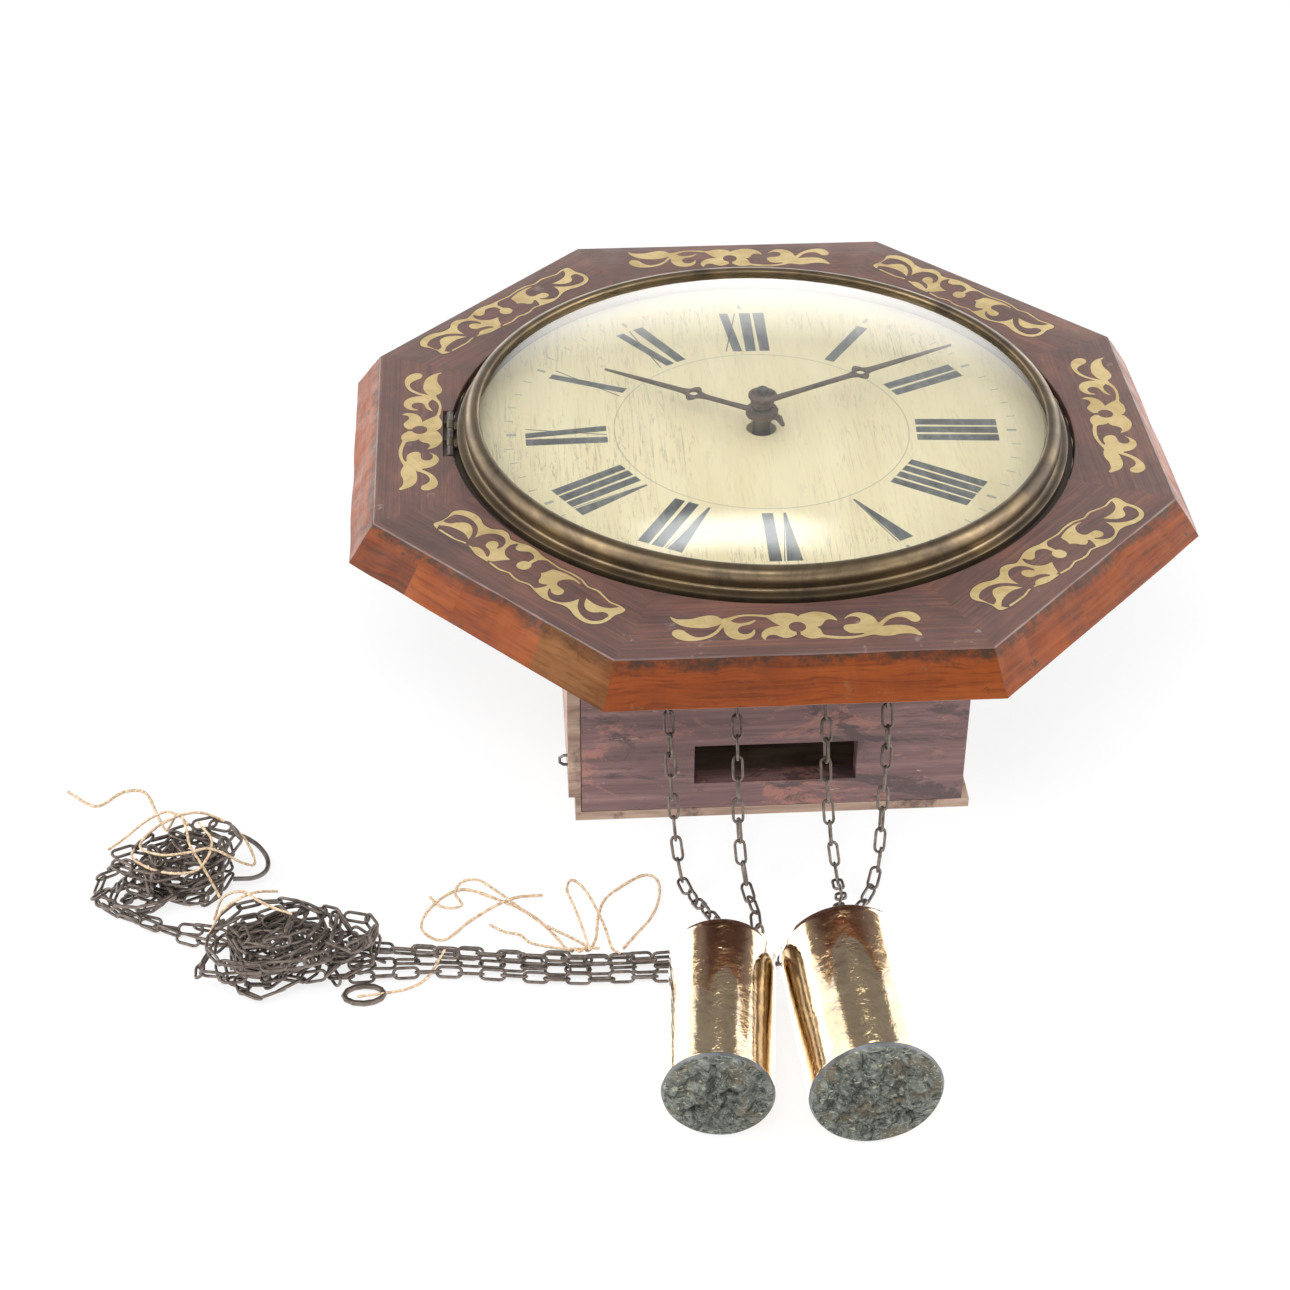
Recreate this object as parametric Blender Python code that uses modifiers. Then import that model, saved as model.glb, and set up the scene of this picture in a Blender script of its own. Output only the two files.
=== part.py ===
"""Octagonal wall clock with a thirty-hour chain movement, lying on its back on a table.

Metres, +Z up. The dial faces +Z, six o'clock points to -Y, and the case's back is at Z = 0.
The origin is on the back of the case, below the dial's centre. The two weights and the
slack chains lie on the same table, in front of the case.
"""
import math

import bmesh
import bpy
from mathutils import Matrix, Vector

MM = 0.001
GAP = 0.3 * MM
RUNNING_GAP = 0.35 * MM
ROUND_SIDES = 48
TURNED_STEPS = 36

# Bezel radii, which the frame's recess and face follow
ROLL_R = 114.7 * MM
FLANGE_WIDE = 4.3 * MM
LIP_INSET = 4.8 * MM
BEZEL_ROOM = 2.5 * MM
DIAL_LEDGE_WIDE = 8.5 * MM
FLANGE_R = ROLL_R + FLANGE_WIDE
LIP_R = ROLL_R - LIP_INSET
BEZEL_RECESS_R = FLANGE_R + BEZEL_ROOM
DIAL_LEDGE_R = BEZEL_RECESS_R - DIAL_LEDGE_WIDE

# Octagonal frame, at the arris between its face and its chamfer
BAND_WIDE = 28.5 * MM
BAND_HIGH = 30.1 * MM
FACE_HALF_WIDTH = BEZEL_RECESS_R + BAND_WIDE
FACE_HALF_HEIGHT = BEZEL_RECESS_R + BAND_HIGH
CORNER_CUT_WIDE = 84.1 * MM
CORNER_CUT_HIGH = 89.9 * MM
TOP_SIDE_HALF = FACE_HALF_WIDTH - CORNER_CUT_WIDE
FLANK_SIDE_HALF = FACE_HALF_HEIGHT - CORNER_CUT_HIGH
CHAMFER_OUT = 10.2 * MM
FRAME_THICK = 15.2 * MM
INLAY_THICK = 0.4 * MM
INLAY_STRAIGHT = dict(long=88 * MM, wide=16 * MM, lobes=3)
INLAY_SLANT = dict(long=90 * MM, wide=14 * MM, lobes=4)
# Name, bearing from the dial's centre in degrees, distance beyond the recess, and turn in degrees
INLAYS = (("bottom", -90.4, 14.7 * MM, 0, INLAY_STRAIGHT), ("top", 90.1, 16.8 * MM, 0, INLAY_STRAIGHT),
          ("left", 178.7, 12.1 * MM, -90, INLAY_STRAIGHT), ("right", 0.2, 14.5 * MM, -90, INLAY_STRAIGHT),
          ("bottom_left", 224.4, 10.1 * MM, -47.5, INLAY_SLANT),
          ("bottom_right", 316.0, 15.3 * MM, 44.8, INLAY_SLANT),
          ("top_left", 135.3, 17.5 * MM, 46.8, INLAY_SLANT),
          ("top_right", 46.7, 17.6 * MM, -46.9, INLAY_SLANT))

# Case
BACK_THICK = 4.0 * MM
CASE_DEEP = 90.2 * MM
CASE_CENTRE_X = -2.7 * MM
CASE_HALF_WIDTH = 75.6 * MM
CASE_HALF_HEIGHT = 105.3 * MM
BOARD_THICK = 8.0 * MM
DOOR_THICK = 4.6 * MM
BATTEN_HIGH = 6.8 * MM
SLOT_CENTRE_X = -2.4 * MM
SLOT_WIDE = 61.6 * MM
SLOT_LOW = 12.0 * MM
SLOT_HIGH = 18.0 * MM
CHAIN_HOLE_R = 6.0 * MM
BOARD_INSET_LEFT = 2.5 * MM
BOARD_INSET_RIGHT = 3.1 * MM
LEFT_DOOR_PROUD = 2.5 * MM
DOOR_TOP_GAP = 1.0 * MM
HANGING_HOLE_XY = (CASE_CENTRE_X, 86.0 * MM)
HANGING_HOLE_R = 4.0 * MM
DOOR_BARREL_R = 1.8 * MM
DOOR_PIN_R = 0.7 * MM
DOOR_HINGE_LONG = 45.0 * MM
DOOR_LEAF_WIDE = 11.0 * MM
LEAF_THICK = 0.6 * MM
PULL_WIRE_R = 0.6 * MM
PULL_Z = 25.0 * MM

# Heights of the case's layers
BACK_TOP = BACK_THICK
CASE_LOW = BACK_TOP + GAP
CASE_TOP = CASE_LOW + CASE_DEEP
FRAME_LOW = CASE_TOP + GAP
FACE_Z = FRAME_LOW + FRAME_THICK

# Dial, bezel and glass
DIAL_THICK = 8.0 * MM
DIAL_DROP = 2.5 * MM
DIAL_Z = FACE_Z - DIAL_DROP
DIAL_R = BEZEL_RECESS_R - GAP
DIAL_HOLE_R = 6.0 * MM
BEZEL_HIGH = 11.6 * MM
GLASS_RISE = 13.4 * MM
GLASS_THICK = 1.6 * MM
BEZEL_LOW = DIAL_Z + GAP
BEZEL_TOP = BEZEL_LOW + BEZEL_HIGH
HINGE_LEAF_WIDE = 2.9 * MM
HINGE_RECESS = dict(x=-(BEZEL_RECESS_R + HINGE_LEAF_WIDE), half=17.0 * MM, deep=4.0 * MM)
BEZEL_AXIS_OUT = 2.6 * MM
BEZEL_AXIS_X = -(FLANGE_R + BEZEL_AXIS_OUT)
BEZEL_AXIS_Z = FACE_Z - 1.0 * MM
BEZEL_BARREL_R = 1.5 * MM
BEZEL_PIN_R = 0.6 * MM
BEZEL_AXIS_ROOM = FLANGE_R - 0.8 * MM

# Hands
HOUR_HAND_Z = DIAL_Z + 6.8 * MM
MINUTE_HAND_Z = HOUR_HAND_Z + 4.6 * MM
HAND_THICK = 0.8 * MM
HOUR_HAND_LONG = 69.6 * MM
MINUTE_HAND_LONG = 89.6 * MM
HOUR_HAND_ANGLE = math.radians(148.5)
MINUTE_HAND_ANGLE = math.radians(26.5)
COLLET_THICK = 1.6 * MM
COLLET_Z = MINUTE_HAND_Z + 2.6 * MM + GAP
HAND_PIN_R = 0.5 * MM
HAND_PIN_Z = COLLET_Z + COLLET_THICK + GAP + HAND_PIN_R
ARBOR_TOP = HAND_PIN_Z + 1.2 * MM

# Movement
PLATE_THICK = 2.0 * MM
BACK_PLATE_Z = 40.0 * MM
FRONT_PLATE_Z = 82.0 * MM
PLATE_HALF_X = 57.0 * MM
PLATE_HALF_Y = 60.0 * MM
PILLAR_R = 3.0 * MM
PILLAR_INSET = 4.2 * MM
ARBOR_R = 1.3 * MM
MINUTE_ARBOR_R = 2.0 * MM
HOUR_PIPE_R = 3.6 * MM
PIVOT_SIDES = 8

# Trains: teeth, modules and the heights of the wheels
GREAT_TEETH = 60
SECOND_PINION_TEETH = 6
SECOND_TEETH = 54
ESCAPE_PINION_TEETH = 6
ESCAPE_TEETH = 30
STRIKE_GREAT_TEETH = 45
PIN_PINION_TEETH = 6
PIN_TEETH = 42
FLY_PINION_TEETH = 6
DRIVE_TEETH = 24
MINUTE_WHEEL_TEETH = 20
CANNON_TEETH = 10
INTERMEDIATE_TEETH = 30
INTERMEDIATE_PINION_TEETH = 8
HOUR_WHEEL_TEETH = 32
GREAT_MODULE = 1.09 * MM
SECOND_MODULE = 0.88 * MM
STRIKE_GREAT_MODULE = 1.2 * MM
PIN_MODULE = 0.9 * MM
MOTION_MODULE = 1.1 * MM
WHEEL_THICK = 2.0 * MM
ESCAPE_R = 13.5 * MM
PALLET_GAP = 1.2 * MM

# Chain wheels sit over the four chain holes
CHAIN_D = 4.7 * MM
CHAIN_Z = 62.0 * MM
STRIKE_CHAIN_R = 12.5 * MM
GOING_CHAIN_R = 11.5 * MM
STRIKE_GREAT_XY = (-31.0 * MM, -30.0 * MM)
GOING_GREAT_XY = (26.3 * MM, -30.0 * MM)

# Heights of the wheels, and the pins that lift the hammer
MOTION_Z = 86.0 * MM
CANNON_Z = 90.0 * MM
HOUR_WHEEL_Z = 94.2 * MM
GREAT_Z = 69.0 * MM
SECOND_Z = 75.5 * MM
ESCAPE_Z = 49.0 * MM
STRIKE_GREAT_Z = 53.0 * MM
PIN_Z = 46.2 * MM
LIFTING_PINS = 6
LIFTING_PIN_R = 0.7 * MM
LIFTING_PIN_CIRCLE_R = PIN_TEETH * PIN_MODULE / 2 - 2.6 * MM

# Anchor and crutch, hammer, counting disc, fly and gong
PALLET_SPREAD = math.radians(45)
ANCHOR_RISE = 5.5 * MM
CRUTCH_Z = 28.0 * MM
CRUTCH_WIRE_R = 0.9 * MM
STUD_RISE = 9.0 * MM
HAMMER_XY = (-48.0 * MM, 40.0 * MM)
COUNT_R = 21.0 * MM
COUNT_DEEP = 2.4 * MM
COUNT_LOW, COUNT_HIGH = 35.5 * MM, 37.0 * MM
STRIKE_ARBOR_LOW = 34.0 * MM
VANE_LOW, VANE_HIGH = 58.0 * MM, 76.0 * MM
VANE_HALF_WIDE, VANE_HALF_THICK = 12.0 * MM, 0.3 * MM
GONG_CENTRE = (-4.0 * MM, -42.0 * MM)
GONG_R = 34.0 * MM
GONG_Z = 9.6 * MM
GONG_TURNS = 2.25
GONG_STEP = 6.0 * MM
GONG_WIRE_R = 1.3 * MM
HAMMER_HEAD_R = 3.6 * MM
HAMMER_GAP = 1.6 * MM
HAMMER_WIRE_R = 0.9 * MM

# Weights: brass sleeves filled with lead, lying on the table
WEIGHT_WALL = 1.0 * MM
LEFT_WEIGHT = dict(name="left", x=-38.0 * MM, y=-268.3 * MM, d=37.0 * MM, long=64.6 * MM, turn=6.2)
RIGHT_WEIGHT = dict(name="right", x=13.2 * MM, y=-274.0 * MM, d=44.2 * MM, long=66.8 * MM, turn=-2.5)
HOOK_LONG = 12.5 * MM
HOOK_WIRE_R = 1.2 * MM
HOOK_EYE_R = 3.4 * MM
TWINE_D = 1.2 * MM

# Wound chain, and the ring at a chain's end
HANK_LOOPS = 1.25
HANK_LAYERS = 4
LOOP_POINTS = 22
HANK_CLEARANCE = 0.5 * MM
NEAR_HANK = dict(centre=(-186.6 * MM, -180.5 * MM), half_x=22.5 * MM, half_y=17.0 * MM)
FAR_HANK = dict(centre=(-222.0 * MM, -134.5 * MM), half_x=17.5 * MM, half_y=13.5 * MM, phase=math.pi)
END_RING = dict(centre=(-156.3 * MM, -197.6 * MM), half_x=7.0 * MM, half_y=4.4 * MM, z=1.4 * MM)
END_RING_WIRE_R = 1.1 * MM

parts = bpy.data.collections.new("octagonal_wall_clock")
cutters = bpy.data.collections.new("cutters")


def clear_scene():
    for thing in list(bpy.data.objects):
        bpy.data.objects.remove(thing, do_unlink=True)
    for collection in (parts, cutters):
        bpy.context.scene.collection.children.link(collection)


def material(name, colour, roughness, metallic=0.0):
    made = bpy.data.materials.new(name)
    made.use_nodes = True
    shader = made.node_tree.nodes["Principled BSDF"]
    shader.inputs["Base Color"].default_value = (*colour, 1.0)
    shader.inputs["Roughness"].default_value = roughness
    shader.inputs["Metallic"].default_value = metallic
    return made


def finish(name, mesh, look, smooth=False, tool=False):
    """Puts a mesh in the scene as a part, or as a hidden cutter."""
    thing = bpy.data.objects.new(name, mesh)
    (cutters if tool else parts).objects.link(thing)
    if look:
        mesh.materials.append(look)
    if smooth:
        mesh.shade_smooth()
        mesh.set_sharp_from_angle(angle=math.radians(35))
    if tool:
        thing.hide_render = True
        thing.display_type = "WIRE"
    return thing


def from_bmesh(name, shape, look, smooth=False, tool=False):
    mesh = bpy.data.meshes.new(name)
    shape.to_mesh(mesh)
    shape.free()
    return finish(name, mesh, look, smooth, tool)


def box_into(shape, low, high):
    middle = [(a + b) / 2 for a, b in zip(low, high)]
    size = [b - a for a, b in zip(low, high)]
    place = Matrix.Translation(middle) @ Matrix.Diagonal((*size, 1.0))
    bmesh.ops.create_cube(shape, size=1.0, matrix=place)


def box(name, low, high, look, bevel=0.0, tool=False):
    shape = bmesh.new()
    box_into(shape, low, high)
    thing = from_bmesh(name, shape, look, tool=tool)
    if bevel:
        rounding = thing.modifiers.new("rounding", "BEVEL")
        rounding.width = bevel
        rounding.segments = 1
    return thing


def rod_into(shape, start, end, radius, sides=12, end_radius=None):
    start, end = Vector(start), Vector(end)
    along = end - start
    place = Matrix.Translation((start + end) / 2) @ along.to_track_quat("Z", "Y").to_matrix().to_4x4()
    bmesh.ops.create_cone(shape, cap_ends=True, segments=sides, radius1=radius,
                          radius2=radius if end_radius is None else end_radius, depth=along.length,
                          matrix=place)


def rod(name, start, end, radius, look, sides=12, tool=False):
    shape = bmesh.new()
    rod_into(shape, start, end, radius, sides)
    return from_bmesh(name, shape, look, smooth=True, tool=tool)


def turned(name, profile, look, steps=48, centre=(0, 0), closed=True, tool=False):
    """Screws a profile of (radius, height) points about a vertical axis, from the outside's top down."""
    mesh = bpy.data.meshes.new(name)
    count = len(profile)
    edges = [(i, (i + 1) % count) for i in range(count if closed else count - 1)]
    mesh.from_pydata([(r, 0, z) for r, z in profile], edges, [])
    thing = finish(name, mesh, look, tool=tool)
    thing.location = (*centre, 0)
    screw = thing.modifiers.new("turn", "SCREW")
    screw.steps = steps
    screw.render_steps = steps
    screw.use_merge_vertices = True
    screw.merge_threshold = 0.00002
    screw.use_smooth_shade = True
    return thing


def circle(centre, radius, count, phase=0.0):
    return [(centre[0] + radius * math.cos(phase + math.tau * i / count),
             centre[1] + radius * math.sin(phase + math.tau * i / count)) for i in range(count)]


def curve_mesh(name, curve):
    """Turns a curve into a closed mesh, with its loose caps welded."""
    thing = bpy.data.objects.new(name, curve)
    parts.objects.link(thing)
    graph = bpy.context.evaluated_depsgraph_get()
    mesh = bpy.data.meshes.new_from_object(thing.evaluated_get(graph))
    bpy.data.objects.remove(thing, do_unlink=True)
    shape = bmesh.new()
    shape.from_mesh(mesh)
    bmesh.ops.remove_doubles(shape, verts=shape.verts, dist=0.000005)
    shape.to_mesh(mesh)
    shape.free()
    mesh.name = name
    return mesh


def flat_mesh(name, outlines, low, high):
    """A plate between two heights, from outlines of which the inner ones are holes."""
    curve = bpy.data.curves.new(name, "CURVE")
    curve.dimensions = "2D"
    curve.fill_mode = "BOTH"
    curve.extrude = (high - low) / 2
    for outline in outlines:
        line = curve.splines.new("POLY")
        line.points.add(len(outline) - 1)
        for point, (x, y) in zip(line.points, outline):
            point.co = (x, y, 0, 1)
        line.use_cyclic_u = True
    mesh = curve_mesh(name, curve)
    mesh.transform(Matrix.Translation((0, 0, (low + high) / 2)))
    return mesh


def flat(name, outlines, low, high, look, tool=False):
    return finish(name, flat_mesh(name, outlines, low, high), look, tool=tool)


def tube_mesh(name, points, radius, sides_level=2, cyclic=False):
    curve = bpy.data.curves.new(name, "CURVE")
    curve.dimensions = "3D"
    curve.bevel_depth = radius
    curve.bevel_resolution = sides_level
    curve.use_fill_caps = not cyclic
    line = curve.splines.new("POLY")
    line.points.add(len(points) - 1)
    for point, place in zip(line.points, points):
        point.co = (*place, 1)
    line.use_cyclic_u = cyclic
    return curve_mesh(name, curve)


def tube(name, points, radius, look, sides_level=2, cyclic=False):
    return finish(name, tube_mesh(name, points, radius, sides_level, cyclic), look, smooth=True)


def boolean(thing, other, operation):
    step = thing.modifiers.new(other.name, "BOOLEAN")
    step.operation = operation
    step.solver = "EXACT"
    step.object = other


def cut(thing, *others):
    for other in others:
        boolean(thing, other, "DIFFERENCE")


def weld(thing, *others):
    for other in others:
        boolean(thing, other, "UNION")


def smooth_route(route, count):
    """Points along a smooth curve that passes through every point of a route."""
    stops = [Vector(p) * MM for p in route]
    ends = [2 * stops[0] - stops[1], *stops, 2 * stops[-1] - stops[-2]]
    fine = []
    for a, b, c, d in zip(ends, ends[1:], ends[2:], ends[3:]):
        for i in range(12):
            t = i / 12
            fine.append(0.5 * (2 * b + (c - a) * t + (2 * a - 5 * b + 4 * c - d) * t * t
                               + (3 * b - a - 3 * c + d) * t ** 3))
    fine.append(stops[-1])
    lengths = [0.0]
    for a, b in zip(fine, fine[1:]):
        lengths.append(lengths[-1] + (b - a).length)
    made = []
    at = 0
    for i in range(count):
        want = lengths[-1] * i / (count - 1)
        while at < len(fine) - 2 and lengths[at + 1] < want:
            at += 1
        span = max(lengths[at + 1] - lengths[at], 1e-9)
        made.append(fine[at].lerp(fine[at + 1], min((want - lengths[at]) / span, 1.0)))
    return made


clear_scene()
VENEER = material("mahogany_veneer", (0.16, 0.045, 0.025), 0.35)
PINE = material("old_pine", (0.20, 0.12, 0.10), 0.8)
PAINT = material("dial_paint", (0.80, 0.70, 0.47), 0.4)
BRASS = material("brass", (0.55, 0.40, 0.19), 0.35, 1.0)
BEZEL_BRASS = material("bezel_brass", (0.25, 0.16, 0.09), 0.4, 1.0)
STEEL = material("steel", (0.10, 0.08, 0.07), 0.5, 1.0)
IRON = material("hand_iron", (0.07, 0.05, 0.04), 0.5, 0.8)
GLASS = material("glass", (0.9, 0.95, 0.95), 0.05)
LEAD = material("lead", (0.10, 0.11, 0.11), 0.7, 0.5)
CHAIN = material("chain_steel", (0.08, 0.07, 0.07), 0.45, 1.0)
HEMP = material("hemp", (0.55, 0.42, 0.28), 0.9)


# Octagonal frame and its inlay

def octagon(half_width, half_height, top_half, flank_half, out=0.0):
    """Corners of the octagon, moved outwards square to each side."""
    k = out * math.tan(math.radians(22.5))
    w, h, t, f = half_width + out, half_height + out, top_half + k, flank_half + k
    return [(-t, h), (-w, f), (-w, -f), (-t, -h), (t, -h), (w, -f), (w, f), (t, h)]


def octagonal_frame():
    face = octagon(FACE_HALF_WIDTH, FACE_HALF_HEIGHT, TOP_SIDE_HALF, FLANK_SIDE_HALF)
    foot = octagon(FACE_HALF_WIDTH, FACE_HALF_HEIGHT, TOP_SIDE_HALF, FLANK_SIDE_HALF, CHAMFER_OUT)
    shape = bmesh.new()
    upper = [shape.verts.new((x, y, FACE_Z)) for x, y in face]
    lower = [shape.verts.new((x, y, FRAME_LOW)) for x, y in foot]
    shape.faces.new(upper)
    shape.faces.new(lower[::-1])
    for i in range(8):
        j = (i + 1) % 8
        shape.faces.new((upper[j], upper[i], lower[i], lower[j]))
    frame = from_bmesh("octagon_frame", shape, VENEER)
    ledge_z = DIAL_Z - DIAL_THICK - GAP
    recess = rod("frame_recess", (0, 0, ledge_z), (0, 0, FACE_Z + MM), BEZEL_RECESS_R, None, ROUND_SIDES, True)
    through = rod("frame_opening", (0, 0, FRAME_LOW - MM), (0, 0, ledge_z + MM), DIAL_LEDGE_R, None,
                  ROUND_SIDES, True)
    leaf = HINGE_RECESS
    pocket = box("hinge_pocket", (leaf["x"], -leaf["half"], FACE_Z - leaf["deep"]),
                 (-BEZEL_RECESS_R + 2 * MM, leaf["half"], FACE_Z + MM), None, tool=True)
    cut(frame, recess, through, pocket)
    brass_inlays(frame)


def scroll_outline(long, wide, lobes, out=0.0):
    """A foliate scroll strip: a waving leaf outline with a waist between its lobes."""
    count = lobes * 3
    upper, lower = [], []
    for i in range(count + 1):
        s = i / count
        x = (s - 0.5) * (long + 2 * out)
        swell = 0.28 + 0.22 * math.cos(math.tau * lobes * s / 2) ** 2
        taper = min(1.0, 6.0 * min(s, 1 - s) + 0.25)
        bend = 0.10 * wide * math.sin(math.tau * (lobes / 2) * s)
        upper.append((x, bend + wide * swell * taper + out))
        lower.append((x, bend - wide * swell * taper - out))
    return upper[::-1] + lower


def brass_inlays(frame):
    """Thin brass scrolls, each let into a bed of its own outline in the frame's face."""
    for name, bearing, beyond, turn, shape in INLAYS:
        at = polar((0, 0), BEZEL_RECESS_R + beyond, bearing)
        place = Matrix.Translation((*at, 0)) @ Matrix.Rotation(math.radians(turn), 4, "Z")
        low = FACE_Z - INLAY_THICK
        plate = flat("inlay_" + name, [scroll_outline(**shape)], low, FACE_Z, BRASS)
        bed = flat("bed_" + name, [scroll_outline(**shape, out=GAP)], low - GAP, FACE_Z + MM, None, tool=True)
        plate.matrix_world = place
        bed.matrix_world = place
        cut(frame, bed)


# Case

def case():
    left = CASE_CENTRE_X - CASE_HALF_WIDTH
    right = CASE_CENTRE_X + CASE_HALF_WIDTH
    board_left, board_right = left + BOARD_INSET_LEFT, right - BOARD_INSET_RIGHT
    y = CASE_HALF_HEIGHT
    inner_y = y - BOARD_THICK - GAP
    batten_top = CASE_LOW + BATTEN_HIGH
    back = box("back_board", (left, -y, 0), (right, y, BACK_TOP), PINE)
    weld(back, box("left_batten", (left, -y, BACK_TOP - MM), (board_left - GAP, y, batten_top), None,
                   tool=True),
         box("right_batten", (board_right - DOOR_THICK, -inner_y, BACK_TOP - MM),
             (board_right, inner_y, batten_top),
             None, tool=True))
    cut(back, rod("hanging_hole", (*HANGING_HOLE_XY, -MM), (*HANGING_HOLE_XY, BACK_TOP + MM), HANGING_HOLE_R,
                  None, 16, True))
    box("top_board", (board_left, y - BOARD_THICK, CASE_LOW), (board_right, y, CASE_TOP), PINE)
    bottom = box("bottom_board", (board_left, -y, CASE_LOW), (board_right, -y + BOARD_THICK, CASE_TOP), PINE)
    slot_low = BACK_TOP + SLOT_LOW
    tools = [box("pendulum_slot", (SLOT_CENTRE_X - SLOT_WIDE / 2, -y - MM, slot_low),
                 (SLOT_CENTRE_X + SLOT_WIDE / 2, -y + BOARD_THICK + MM, slot_low + SLOT_HIGH), None,
                 tool=True)]
    for i, x in enumerate(chain_hole_x()):
        tools.append(rod("chain_hole_%d" % i, (x, -y - MM, CHAIN_Z), (x, -y + BOARD_THICK + MM, CHAIN_Z),
                         CHAIN_HOLE_R, None, 12, True))
    cut(bottom, *tools)

    door_low = batten_top + GAP
    door_top = CASE_TOP - DOOR_TOP_GAP
    left_outer = left - LEFT_DOOR_PROUD
    door = box("left_door", (left_outer, -y, door_low), (board_left - GAP, y, door_top), PINE)
    box("right_door", (board_right - DOOR_THICK, -inner_y, door_low), (board_right, inner_y, door_top), PINE)
    door_hinge("left", left_outer, -1)
    door_hinge("right", board_right, 1)
    door_pull(door, left_outer, -y + 6 * MM)


def door_pull(door, outer_x, y):
    """A wire staple in the left door, to pull it open by."""
    reach = ((2.0, -2.2), (-1.6, -2.2), (-3.0, -1.1), (-3.0, 1.1), (-1.6, 2.2), (2.0, 2.2))
    tube("left_door_pull", [(outer_x + x * MM, y, PULL_Z + z * MM) for x, z in reach], PULL_WIRE_R, STEEL)
    side = PULL_WIRE_R + GAP
    for i, z in enumerate((PULL_Z - 2.2 * MM, PULL_Z + 2.2 * MM)):
        cut(door, box("staple_hole_%d" % i, (outer_x - MM, y - side, z - side),
                      (outer_x + 2.5 * MM, y + side, z + side), None, tool=True))


def door_axis(outer_x, side):
    leaf_low = FRAME_LOW - GAP - LEAF_THICK
    return outer_x + side * (DOOR_BARREL_R + GAP), leaf_low - GAP - DOOR_BARREL_R


def between(x1, x2, y1, y2, z1, z2):
    """Two opposite corners of a box, in whichever order the values come."""
    return ((min(x1, x2), min(y1, y2), min(z1, z2)), (max(x1, x2), max(y1, y2), max(z1, z2)))


def door_hinge(name, outer_x, side):
    """A butt hinge: the frame's leaf carries two knuckles and the pin, the door's leaf the middle one."""
    x, z = door_axis(outer_x, side)
    half, third = DOOR_HINGE_LONG / 2, DOOR_HINGE_LONG / 6
    leaf_low = FRAME_LOW - GAP - LEAF_THICK
    fixed = box(name + "_hinge_leaf",
                *between(x, x + side * DOOR_LEAF_WIDE, -half, half, leaf_low, FRAME_LOW - GAP), STEEL)
    weld(fixed, rod(name + "_hinge_pin", (x, -half, z), (x, half, z), DOOR_PIN_R, None, 8, True))
    for i, (low, high) in enumerate(((-half, -third), (third, half))):
        weld(fixed, rod("%s_knuckle_%d" % (name, i), (x, low, z), (x, high, z), DOOR_BARREL_R, None, 8, True),
             box("%s_web_%d" % (name, i),
                 *between(x, x + side * DOOR_BARREL_R * 0.8, low, high, z, leaf_low + 0.2 * MM), None,
                 tool=True))
    ends = (-third + GAP, third - GAP)
    near, far = outer_x + side * GAP, outer_x + side * (GAP + LEAF_THICK)
    turning = box(name + "_door_knuckle",
                  *between(near, far, -half, half, z - DOOR_LEAF_WIDE, z - DOOR_BARREL_R - GAP), STEEL)
    weld(turning, box(name + "_door_web", *between(near, far, *ends, z - 3 * MM, z), None, tool=True),
         rod(name + "_middle_knuckle", (x, ends[0], z), (x, ends[1], z), DOOR_BARREL_R, None, 8, True))
    cut(turning, rod(name + "_knuckle_bore", (x, -half, z), (x, half, z), DOOR_PIN_R + RUNNING_GAP, None, 8,
                     True))


def chain_hole_x():
    return (STRIKE_GREAT_XY[0] - STRIKE_CHAIN_R, STRIKE_GREAT_XY[0] + STRIKE_CHAIN_R,
            GOING_GREAT_XY[0] - GOING_CHAIN_R, GOING_GREAT_XY[0] + GOING_CHAIN_R)


# Dial, bezel and glass

def dial():
    board = rod("dial_board", (0, 0, DIAL_Z - DIAL_THICK), (0, 0, DIAL_Z), DIAL_R, PAINT, ROUND_SIDES)
    cut(board, rod("dial_hole", (0, 0, DIAL_Z - DIAL_THICK - MM), (0, 0, DIAL_Z + MM), DIAL_HOLE_R, None, 16,
                   True))


def bezel():
    low, top = BEZEL_LOW, BEZEL_TOP
    profile = [(ROLL_R - 1.7 * MM, top), (ROLL_R, top - 0.8 * MM), (ROLL_R + 1.5 * MM, top - 4.0 * MM),
               (ROLL_R + 1.5 * MM, low + 3.2 * MM), (FLANGE_R, low + 2.6 * MM), (FLANGE_R, low),
               (LIP_R + 2.9 * MM, low), (LIP_R + 2.9 * MM, top - 4.4 * MM), (LIP_R + 1.5 * MM, top - 4.4 * MM),
               (LIP_R + 1.5 * MM, top - 2.0 * MM), (LIP_R, top - 1.6 * MM), (LIP_R + 0.6 * MM, top)]
    ring = turned("bezel_ring", profile, BEZEL_BRASS, TURNED_STEPS)
    cut(ring, box("knuckle_room", (-FLANGE_R - MM, -HINGE_RECESS["half"], low - MM),
                  (-BEZEL_AXIS_ROOM, HINGE_RECESS["half"], low + 4.5 * MM), None, tool=True))
    bezel_hinge(ring)

    edge_r = LIP_R + 1.1 * MM
    edge_z = top - 2.2 * MM
    radius = (edge_r ** 2 + GLASS_RISE ** 2) / (2 * GLASS_RISE)
    centre_z = edge_z + GLASS_RISE - radius
    rings = 4
    outer, inner = [], []
    for i in range(rings + 1):
        a = math.asin(edge_r / radius) * i / rings
        outer.append((radius * math.sin(a), centre_z + radius * math.cos(a)))
        inner.append(((radius - GLASS_THICK) * math.sin(a), centre_z + (radius - GLASS_THICK) * math.cos(a)))
    turned("bezel_glass", outer + inner[::-1], GLASS, TURNED_STEPS, closed=False)


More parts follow.
